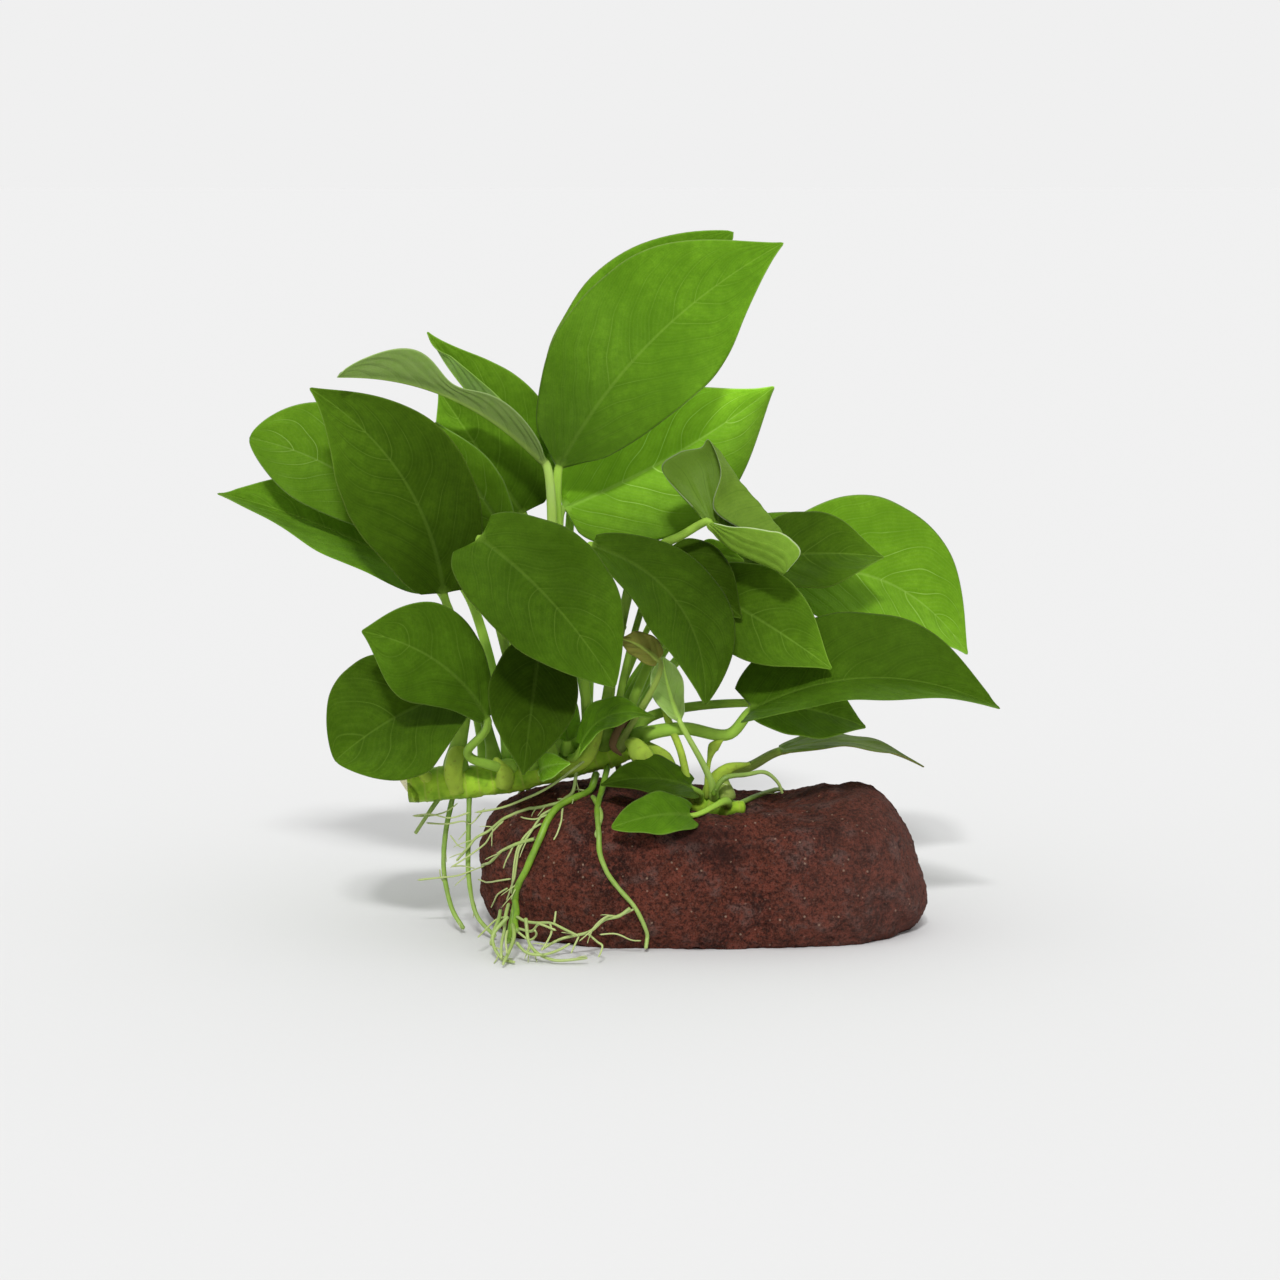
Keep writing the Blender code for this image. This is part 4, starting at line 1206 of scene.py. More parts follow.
@dataclass
class Stone:
    """The lump of lava: an even body with lumps, swellings and a hollow, then pits and pores."""

    name: str = "stone"
    half_length: float = 61.0
    half_depth: float = 32.5
    waist: float = 16.0
    rise: float = 20.5
    drop: float = 21.5
    plan_power: float = 2.5  # 2 is an ellipse seen from above, more is boxier
    side_power: float = 3.8  # the same, seen from the side
    lumps: tuple[tuple[float, float], ...] = ((17.0, 1.7), (7.5, 0.8))  # spacing and height
    seed: tuple[float, float, float] = (3.7, 9.1, 5.3)
    lean: tuple[float, float] = (9.0, 0.25)  # above this height, its right side leans in by this much
    # Swellings (+) and the hollow (-) on the top: middle x, y, spread x, y, height.
    top: Route = (
        (-36.0, 0.0, 17.0, 22.0, 4.2),
        (48.0, 3.0, 14.0, 20.0, 4.6),
        (17.0, 12.0, 17.0, 24.0, -2.6),
        (6.0, -4.0, 17.0, 10.0, -6.2),
    )
    # Patches of painted shade, where the stone lies in shade: middle and spread.
    painted_shade: Route = ((4.8, -33.0, 30.0, 7.0), (38.3, -28.0, 35.8, 8.0), (-6.0, -30.0, 32.8, 6.0),
                     (-52.0, -28.0, 30.0, 7.0))
    cuts: int = 104  # each side of the cube that it is blown up from is cut into one more than this
    rough_spacing: float = 5.5
    rough_height: float = 0.62
    grit_spacing: float = 1.3
    grit_height: float = 0.3
    wear: float = 0.1  # how far all of it is worn back
    # Fine pores and rarer, larger ones: spacing, depth, and the share of places without one.
    pores: Route = ((2.0, 0.55, 0.7), (4.2, 0.715, 0.9))

    def skin_point(self, way: Vector) -> tuple[Vector, Vector]:
        """A point of the even body.

        Args:
            way: its direction from the middle.

        Returns:
            The point, and the way out of the body there.
        """
        plan = (abs(way.x) ** self.plan_power + abs(way.y) ** self.plan_power) ** (1 / self.plan_power)
        reach = (plan ** self.side_power + abs(way.z) ** self.side_power) ** (-1 / self.side_power)
        unit = way * reach
        height = self.rise if unit.z > 0 else self.drop
        point = Vector((unit.x * self.half_length, unit.y * self.half_depth, self.waist + unit.z * height))
        out = Vector((unit.x / self.half_length, unit.y / self.half_depth, unit.z / height)).normalized()
        for spacing, size in self.lumps:
            point += out * size * noise.noise(point / spacing + Vector(self.seed))
        top = min(max(unit.z, 0.0) * 1.4, 1.0)
        for x, y, spread_x, spread_y, rise in self.top:
            far = ((point.x - x) / spread_x) ** 2 + ((point.y - y) / spread_y) ** 2
            point.z += top * rise * math.exp(-far)
        start, lean = self.lean
        point.x -= max(point.z - start, 0.0) * lean * max(unit.x, 0.0) ** 1.5
        return point, out

    def weathered(self, point: Vector, out: Vector) -> tuple[Vector, Vector]:
        """Roughens the body.

        Args:
            point: a point on it.
            out: the way out there.

        Returns:
            The point moved, and how far it is in a pore, on a ridge and in a patch of painted shade.
        """
        rough = noise.fractal(point / self.rough_spacing, 0.8, 2.1, 5) * self.rough_height
        grit = noise.noise(point / self.grit_spacing) * self.grit_height
        pore = 0.0
        for spacing, depth, rarity in self.pores:
            distances, centres = noise.voronoi(point / spacing)
            if noise.cell(centres[0] * 7.3) > rarity:
                pore = max(pore, depth * smooth_step(1.15 - distances[0] * 2.6))
        moved = point + out * (rough + grit - self.wear - pore)
        # Painted shade: dark patches laid round the given middles.
        shade_depth = sum(hump((point - Vector(middle)).length, spread) for *middle, spread in self.painted_shade)
        shade_depth *= smooth_step(0.9 + 1.2 * noise.noise(point / 4))
        return moved, Vector((min(pore / self.pores[0][1], 1.0), smooth_step(rough * 2.2 - 0.1), shade_depth))

    def build(self, finish: Material) -> Object:
        """Blows a finely cut cube up to the stone, and cuts it flat where it stands.

        Args:
            finish: its material.

        Returns:
            The piece.
        """
        bm = bmesh.new()
        layer = bm.verts.layers.float_vector.new("pores")
        bmesh.ops.create_cube(bm, size=2.0)
        bmesh.ops.subdivide_edges(bm, edges=bm.edges[:], cuts=self.cuts, use_grid_fill=True)
        for vert in bm.verts:
            way = Vector([math.tan(c * math.pi / 4) for c in vert.co]).normalized()
            vert.co, vert[layer] = self.weathered(*self.skin_point(way))
        everything = bm.verts[:] + bm.edges[:] + bm.faces[:]
        cut = bmesh.ops.bisect_plane(bm, geom=everything, plane_co=(0, 0, 0), plane_no=(0, 0, -1),
                                     clear_outer=True)
        rim = [e for e in cut["geom_cut"] if isinstance(e, BMEdge)]
        bmesh.ops.contextual_create(bm, geom=rim)
        return grow_piece(self.name, bm, finish, "stone")


@dataclass
class Studio:
    """A plain pale floor, plain soft light and the camera, at the photograph's angle."""

    target: Place = (-17.5, 0.0, 78.6)
    distance: float = 960.0
    elevation: float = 8.0
    lens: float = 100.0
    sensor: float = 36.0
    sight: float = 100.0  # how far the camera sees, in metres
    floor_size: float = 30000.0
    backdrop: float = 0.871  # what the camera sees behind the floor, in linear light
    sky: float = 0.95
    horizon: float = 0.35
    # Each lamp: name, azimuth from the camera to the right, elevation, strength and softness.
    lamps: tuple[tuple[str, float, float, float, float], ...] = (
        ("left_lamp", -5.0, 40.0, 1.1, 4.0),
        ("right_lamp", 1.5, 40.0, 0.81, 5.0),
    )

    def aim(self, azimuth: float, elevation: float) -> Vector:
        """The way from the plant to something round it.

        Args:
            azimuth: how far round to the right of the camera it is.
            elevation: how high it stands.

        Returns:
            The way.
        """
        a, e = math.radians(azimuth), math.radians(elevation)
        return Vector((math.sin(a) * math.cos(e), -math.cos(a) * math.cos(e), math.sin(e)))

    def place_camera(self) -> None:
        """Sets the camera up and makes it the scene's."""
        camera = bpy.data.objects.new("camera", bpy.data.cameras.new("camera"))
        camera.data.lens = self.lens
        camera.data.sensor_width = self.sensor
        camera.data.clip_end = self.sight
        away = self.aim(0.0, self.elevation)
        camera.location = (Vector(self.target) + away * self.distance) * MM
        camera.rotation_euler = away.to_track_quat("Z", "Y").to_euler()
        bpy.context.scene.collection.objects.link(camera)
        bpy.context.scene.camera = camera

    def lay_floor(self) -> None:
        """Lays the floor."""
        bm = bmesh.new()
        bmesh.ops.create_grid(bm, x_segments=1, y_segments=1, size=self.floor_size / 2 * MM)
        mesh = bpy.data.meshes.new("floor")
        bm.to_mesh(mesh)
        bm.free()
        mesh.materials.append(StudioPaper().make())
        floor = bpy.data.objects.new("floor", mesh)
        bpy.context.scene.collection.objects.link(floor)

    def light(self) -> None:
        """Hangs the lamps and lights the air: brighter from above, even where the camera sees it."""
        for name, azimuth, elevation, strength, softness in self.lamps:
            lamp = bpy.data.objects.new(name, bpy.data.lights.new(name, "SUN"))
            lamp.data.energy = strength
            lamp.data.angle = math.radians(softness)
            lamp.rotation_euler = self.aim(azimuth, elevation).to_track_quat("Z", "Y").to_euler()
            bpy.context.scene.collection.objects.link(lamp)
        world = bpy.data.worlds.new("studio_air")
        bpy.context.scene.world = world
        world.use_nodes = True
        tree = world.node_tree
        air = tree.nodes["Background"]
        way = add_node(tree, "TexCoord").outputs["Generated"]
        height = add_node(tree, "SeparateXYZ", {0: way}).outputs[2]
        glow = add_node(tree, "MapRange", {0: height, 1: 0.0, 2: 0.9, 3: self.horizon, 4: self.sky},
                        interpolation_type="SMOOTHSTEP").outputs[0]
        seen = add_node(tree, "LightPath").outputs["Is Camera Ray"]
        strength = add_node(tree, "Mix", {0: seen, 2: glow, 3: self.backdrop}, data_type="FLOAT").outputs[0]
        fill(tree, air, {"Color": (1, 1, 1, 1), "Strength": strength})

    def build(self) -> None:
        """Sets the camera, the floor and the light up, and has colours shown as they are."""
        bpy.context.scene.view_settings.view_transform = "Standard"
        self.place_camera()
        self.lay_floor()
        self.light()


# ------------------------------------------------------------------------------------------- the plant

RHIZOMES = (
    Rhizome("rhizome_main",
            ((-80.5, -6, 39.8), (-69, -6, 40.4), (-58, -5.5, 41.4), (-47, -5, 43.2), (-36, -4, 45.8),
             (-26, -3, 48), (-16, -2, 51)), (4.5, 4.6, 4.3, 4.1, 4, 3.9, 2.6), cut=(0.55, 0.4),
            scales=(Scale(((-21.5, -9, 55), (-20.4, -18, 62.1), (-24.7, -20, 53.8), (-22.3, -17, 49.7)),
                          (0.5, 1, 1.1, 0.3), Tissue.WITHERED),
                    Scale(((-66.8, -8, 38), (-67.6, -10, 44), (-66.8, -11, 49), (-64.8, -9, 52.6)),
                          (3, 2.6, 2.3, 1.2), thickness=2.4),
                    Scale(((-75.2, -6, 40), (-75, -9, 42.5), (-77.7, -8.5, 45.4)), (2.4, 1.9, 0.8),
                          thickness=1.8),
                    Scale(((-54.6, -8, 40), (-53.8, -11, 44), (-56.6, -12, 48.5)), (3, 2.4, 0.7),
                          thickness=1.8),
                    Scale(((-39.5, -8, 44), (-32.2, -13, 48.2), (-29, -13.5, 55), (-27.4, -10, 62.4)),
                          (2.4, 2, 1.5, 0.5), thickness=1.1))),
    Rhizome("rhizome_side",
            ((-17, -4, 44), (-11, -6, 39.6), (-4, -7, 35.6), (4, -7, 33.9), (11, -6, 33.6)),
            (2.6, 2.9, 3, 2.9, 2),
            scales=(Scale(((0.4, -9.5, 36), (0.5, -12.5, 44), (1.6, -13, 50.2), (3.2, -13, 52.5),
                           (5, -13, 54)), (0.7, 0.65, 0.6, 1.6, 1, 0.3)),
                    Scale(((-3.6, -9, 34.8), (-4.7, -13, 41.4), (-6.6, -14.5, 50.5), (-9.8, -13, 58.3),
                           (-11.6, -9, 63.6)), (1.2, 1.1, 1, 1, 0.8), thickness=0.9),
                    Scale(((-5.7, -8, 34.7), (-8.2, -12, 42), (-11.2, -12, 48.3), (-16.4, -9, 52.4)),
                          (1.5, 1.9, 2.2, 0.6), thickness=0.8),
                    Scale(((-13.5, -9, 42.7), (-15, -15, 46.6), (-17.3, -17, 50.2), (-19.6, -16, 52.4),
                           (-21.2, -13, 52.9)), (1.6, 2.6, 3, 2.6, 0.8), thickness=0.7),
                    Scale(((0, -8, 36), (2.4, -9.5, 41.6), (6.4, -8.5, 44.8), (12.6, -5, 45.6)),
                          (1.5, 2, 1.6, 0.4), thickness=0.6))),
)

# Each leaf's tint, and how much brighter one half is than the other, paint shade and light into its green:
# darker where other leaves shade it, lighter where the lamps leave it dark, as on leaf_bright's upper half
# under leaf_top's shadow.
LEAVES = (
    # Upright leaves at the top.
    Leaf("leaf_top", Tone.FRESH, ("rhizome_main", 0.7, 0), (-39, -5, 126), (21, 7, 185),
         (-0.25, -0.93, 0.25), 45, arch=-4, sway=-8, fold=(8, 8), belly=0.48, lobe=(1, 1),
         halves=(1, 0.93), ripple=1.2, stalk=1.35, tint=(0.3, 0.8, 1)),
    Leaf("leaf_top_back", Tone.FRESH, ("rhizome_main", 0.66, -55), (-35, 13, 125), (8, 23, 187.5),
         (-0.2, -0.9, 0.4), 40, arch=-3, sway=-8, belly=0.48, lobe=(1, 1), blunt=0.5, small=True,
         tint=(0.9, 0.9, 0.8), painted_side_light=-0.1),
    Leaf("leaf_bright", Tone.BRIGHT, ("rhizome_main", 0.78, 0), (-38, 4, 114), (19, 15, 146),
         (0.1, -0.9, 0.4), 40, arch=-2, sway=2, fold=(35, 0), belly=0.42, ripple=1, tint=(1.1, 1.3, 1.1),
         painted_side_light=-0.6),
    Leaf("leaf_long_curved", Tone.PALE, ("rhizome_main", 0.62, 5), (-42.5, -16, 128), (-96, -29, 151.5),
         (-0.1, 0.5, 0.85), 20, arch=8, fold=(28, 48), flare=(2.5, 2), pinch=(0.5, 0.5), belly=0.7,
         lobe=(1, 1), blunt=0.7, stalk=1.35, tint=(0.4, 0.7, 0.9), painted_side_light=-0.3),
    Leaf("leaf_upper_left", Tone.MID, ("rhizome_main", 0.54, -55), (-42, 9, 127), (-75, 11, 161),
         (-0.1, -0.95, 0.2), 25, fold=(150, 5), start_fold=(40, 5), sway=-3, lobe=(1, 3),
         halves=(0.45, 1), tint=(1.7, 1.1, 1.4)),
    Leaf("leaf_tucked_left", Tone.MID, ("rhizome_main", 0.54, 0), (-49, 1, 113), (-71.5, 3, 146),
         (-0.1, -0.95, 0.2), 28, ripple=0.4, small=True, tint=(0.5, 1.5, 1.2), painted_side_light=-0.3),
    Leaf("leaf_narrow_left", Tone.BRIGHT, ("rhizome_main", 0.46, 0), (-55, -7, 111), (-72, -6, 138),
         (0, -1, 0.1), 15, stalk=1, small=True, tint=(0.3, 0.4, 0.6), painted_side_light=0.3),
    # Leaves to the left.
    Leaf("leaf_left_big", Tone.DARK, ("rhizome_main", 0.36, -10), (-69.5, -16, 93.5), (-104, -20, 148),
         (-0.15, -0.95, 0.15), 35, arch=2, sway=8, belly=0.45, tint=(0.6, 0.8, 1.3), painted_side_light=-0.2),
    Leaf("leaf_left_bright", Tone.BRIGHT, ("rhizome_main", 0.42, -55), (-77, 0, 105), (-122.5, 3, 133),
         (-0.1, -0.9, 0.4), 31, sway=4.5, belly=0.58, lobe=(0, 0), halves=(0.86, 1.05), blunt=0.9,
         via=((-62.5, 0, 88),), tint=(0.4, 0.5, 0.6), painted_side_light=0.1),
    Leaf("leaf_left_long", Tone.MID, ("rhizome_main", 0.32, -55), (-72, 2, 92), (-132, 8, 117.5),
         (-0.2, -0.15, 0.95), 34, arch=3.5, fold=(0, 56), lobe=(1, 1), tint=(1.6, 1.4, 1.1), painted_side_light=0.1),
    Leaf("leaf_left_front", Tone.MID, ("rhizome_main", 0.42, 48), (-58, -25, 61.6), (-90, -34, 85.7),
         (-0.1, -0.9, 0.3), 27.5, sway=4.5, belly=0.6, via=((-57, -13, 46.5), (-63.5, -16, 50.5)),
         tint=(0.6, 0.7, 0.8)),
    Leaf("leaf_left_round", Tone.DARK, ("rhizome_main", 0.2, 20), (-65.5, -17, 67.5), (-98, -26, 50),
         (-0.1, -0.85, 0.5), 42, sway=1, belly=0.54, halves=(0.95, 0.88), blunt=0.8, lobe=(5, 3),
         stalk=1.9, tint=(1, 0.8, 1.1), painted_side_light=-0.1),
    # Leaves at the front.
    Leaf("leaf_front_big", Tone.MID, ("rhizome_main", 0.51, 52), (-59, -34, 110), (-24, -44, 72.5),
         (-0.1, -0.75, 0.65), 35, arch=4, sway=-1.5, flare=(1, 1.25), belly=0.43, blunt=0.5,
         lobe=(6.5, 6.5), bend=9, tint=(0.6, 0.5, 0.8)),
    Leaf("leaf_front_dark", Tone.DARK, ("rhizome_main", 0.59, 50), (-44, -26, 80), (-48, -36, 48),
         (0.05, -0.9, 0.4), 24, arch=2, tint=(0.5, 0.5, 0.7), painted_side_light=0.1),
    Leaf("leaf_front_centre", Tone.MID, ("rhizome_main", 0.75, 48), (-30, -24, 107), (-0.5, -38, 67),
         (0.3, -0.8, 0.5), 25, arch=3, sway=-9, belly=0.52, blunt=0.4, tint=(0.5, 0.4, 0.5), painted_side_light=0.2),
    Leaf("leaf_front_right", Tone.DARK, ("rhizome_main", 0.93, 25), (0, -8, 93.5), (33.3, -19, 73.5),
         (0.1, -0.92, 0.35), 27, arch=3, tint=(0.7, 1.1, 2), painted_side_light=-0.1),
    Leaf("leaf_middle_dark", Tone.DARK, ("rhizome_main", 0.88, 35), (-10.5, -11.5, 104), (9.5, -18, 87),
         (0.1, -0.97, 0.2), 19, arch=1, fold=(3, 3), lobe=(1, 1), bend=10, stalk=0.9, small=True,
         tint=(0.8, 0.6, 0.6), painted_side_light=0.3),
    Leaf("leaf_middle_small", Tone.DARK, ("rhizome_main", 0.875, 0), (-2.5, 2.5, 101.5),
         (10.5, -0.5, 100), (0, -0.9, 0.4), 8, lobe=(1, 1), stalk=0.8, small=True, tint=(1.9, 2.1, 2.3),
         painted_side_light=-0.3),
    Leaf("leaf_middle_olive", Tone.OLIVE, ("rhizome_main", 0.89, 72), (-12.5, -23, 76.5),
         (-23, -25, 82.5), (0.2, 0.95, 0.1), 8, lobe=(1, 1), stalk=0.8, small=True, tint=(1.5, 1.2, 0.8)),
    # Leaves to the right.
    RolledLeaf("leaf_rolled", Tone.ROLLED, ("rhizome_main", 0.82, 50), (0.6, -20.2, 112.9),
               (20.4, -25.6, 99.6), (0, -0.1, 1), 40, arch=0, bend=3,
               via=((-20, -13.5, 96), (-13, -16, 105.2), (-6.9, -18, 108.8)),
               net=(((-0.4, -19.5, 113), (0, -19.8, 113.1), (0.6, -20.2, 112.9), (1.2, -20.6, 112.8),
                     (1.6, -21, 112.7)),
                    ((-11.6, -14, 125.3), (-5.4, -15.5, 118.9), (1.2, -19.8, 111.7), (2.5, -21.8, 111.9),
                     (3.7, -23.6, 112.5)),
                    ((-7.5, -13.5, 130.4), (-2.2, -14.5, 123.3), (2.5, -19.8, 110.4), (4.3, -23.4, 110.8),
                     (6.5, -26.2, 112.2)),
                    ((-1.5, -13, 131.8), (1.5, -13.5, 125.9), (3.8, -19.5, 108.7), (6.6, -24.5, 109.6),
                     (9.9, -28, 112.2)),
                    ((0.6, -13.5, 133.7), (4.4, -13.5, 127.5), (5.7, -19.5, 107.1), (8.9, -25, 108.3),
                     (13, -29, 112)),
                    ((3.6, -19.5, 125.9), (8.4, -14.2, 123), (7.8, -20, 105.6), (11.6, -25.5, 107.3),
                     (16.1, -29.5, 111.7)),
                    ((1.7, -20.5, 116.5), (12.9, -15.5, 118.4), (10.1, -20.5, 104.2),
                     (14.4, -26.5, 106.4), (19, -29.5, 111.2)),
                    ((8.8, -22.3, 111.2), (16.8, -17.5, 113.8), (13, -21.8, 102.9), (17.3, -27, 105.1),
                     (22, -29.5, 109.2)),
                    ((16.1, -24, 107.1), (20.4, -20.5, 108.6), (16.4, -23.3, 101.5), (20.2, -27, 103),
                     (24.4, -29, 105.6)),
                    ((20.3, -25, 100), (20.3, -25.2, 99.9), (20.4, -25.6, 99.6), (20.7, -26.2, 99.9),
                     (20.9, -26.6, 100.3))), tint=(0.9, 1, 0.9), painted_side_light=0.3),
    Leaf("leaf_right_mid", Tone.DARK, ("rhizome_main", 0.9, -40), (10.5, 3.5, 99.5), (48.5, 5, 100.5),
         (0, -0.8, 0.6), 25, belly=0.45, lobe=(1, 1), tint=(0.8, 0.7, 1.5)),
    Leaf("leaf_right_sliver", Tone.MID, ("rhizome_main", 0.84, -55), (9, 10, 98), (38, 14, 104.5),
         (0, -0.8, 0.6), 22, stalk=0.9, small=True),
    Leaf("leaf_right_back", Tone.BRIGHT, ("rhizome_main", 0.96, -50), (23, 16, 95), (74, 32, 70),
         (-0.1, -0.8, 0.6), 46, arch=3, sway=-8.5, belly=0.42, lobe=(6, 6), tint=(0.9, 0.8, 0.9),
         painted_side_light=0.1),
    Leaf("leaf_right_long", Tone.MID, ("rhizome_main", 0.97, 62), (12.5, -12, 61.3), (78, -20, 63),
         (0, -0.25, 0.97), 38, arch=9, fold=(52, 5), belly=0.42, lobe=(8, 8), stalk=1.75, bend=9,
         via=((-14, -12.5, 55.5), (-5, -13, 56.6), (6, -12, 54.8)), tint=(0.7, 0.6, 0.7), painted_side_light=0.2),
    Leaf("leaf_right_under", Tone.DARK, ("rhizome_main", 0.98, -5), (14, -1, 61.5), (44, 4, 54),
         (-0.1, -0.8, 0.6), 20, small=True, tint=(2.1, 1.8, 1.6), painted_side_light=0.1),
    Leaf("leaf_low_thin", Tone.OLIVE, ("rhizome_side", 0.8, 0), (20.5, 4, 47.5), (60.5, 10, 42),
         (0, -0.1, 1), 17, arch=4.5, fold=(5, 5), lobe=(2, 2), stalk=1.45, bend=10,
         via=((5, -5, 42.3), (12.5, -1, 44.3)), tint=(2, 1.9, 1.2), painted_side_light=0.1),
    # Young leaves round the crown.
    Leaf("leaf_young_upright", Tone.PALE, ("rhizome_side", 0.68, 30), (-7, -18, 59.5), (-11.5, -20, 77),
         (-0.3, 0.95, 0.1), 9.5, belly=0.52, lobe=(0.3, 0.3), stalk=0.8, small=True, tint=(1.4, 1.9, 1.6),
         painted_side_light=-0.1),
    Leaf("leaf_young_arched", Tone.MID, ("rhizome_main", 0.67, 75), (-33, -17, 52.5),
         (-13.5, -18.5, 60.5), (-0.2, -0.5, 0.85), 14, arch=6, stalk=0.9, small=True,
         tint=(2.2, 1.5, 0.7)),
    Leaf("leaf_young_dark", Tone.DARK, ("rhizome_side", 0.55, 55), (-4, -16, 41), (-28, -23, 43),
         (0, -0.6, 0.8), 15, stalk=0.8, small=True, tint=(0.8, 0.6, 0.5), painted_side_light=0.1),
    Leaf("leaf_young_low", Tone.FRESH, ("rhizome_side", 0.8, 60), (-4.5, -26, 35.4), (-25, -34, 33.6),
         (0, -0.8, 0.6), 13, blunt=0.7, stalk=0.8, small=True, tint=(0.5, 0.6, 0.6), painted_side_light=-0.1),
    Leaf("leaf_young_left", Tone.BRIGHT, ("rhizome_main", 0.56, 80), (-44, -14, 45), (-36, -18, 48),
         (0, -0.9, 0.4), 8, lobe=(1, 1), stalk=0.8, small=True, tint=(0.6, 1.1, 1.8), painted_side_light=0.3),
    Leaf("leaf_young_curled", Tone.PALE, ("rhizome_side", 0.35, 20), (-10, -10, 45), (-20.5, -13, 46),
         (0, -0.6, 0.8), 8, arch=3, lobe=(1, 1), stalk=0.8, small=True, tint=(1.7, 1.7, 1.7)),
    Leaf("leaf_young_sheath", Tone.FRESH, ("rhizome_main", 0.66, 35), (-37, -10.5, 53),
         (-38, -16.5, 71.5), (0.1, -0.95, 0.1), 8.5, arch=0, fold=(32, 32), lobe=(0, 0), stalk=1.1,
         bend=6, small=True, tint=(0.7, 1, 0.9), painted_side_light=-0.2),
    # Leaves at the back, which the rest hide from the front.
    Leaf("leaf_back_left", Tone.MID, ("rhizome_main", 0.48, -100), (-60, 20, 98), (-92, 52, 116),
         (0, 0.35, 0.93), 34, arch=5, small=True),
    Leaf("leaf_back_right", Tone.MID, ("rhizome_main", 0.86, -100), (0, 22, 89), (30, 58, 90),
         (0, 0.4, 0.9), 34, arch=5, small=True),
    Leaf("leaf_back_high", Tone.FRESH, ("rhizome_main", 0.74, -100), (-28, 24, 114), (-14, 58, 138),
         (0.1, 0.1, 0.98), 34, arch=5, small=True),
    Leaf("leaf_back_low", Tone.DARK, ("rhizome_main", 0.6, -100), (-34, 26, 74), (-40, 62, 62),
         (0, 0.4, 0.9), 30, arch=5, small=True),
)

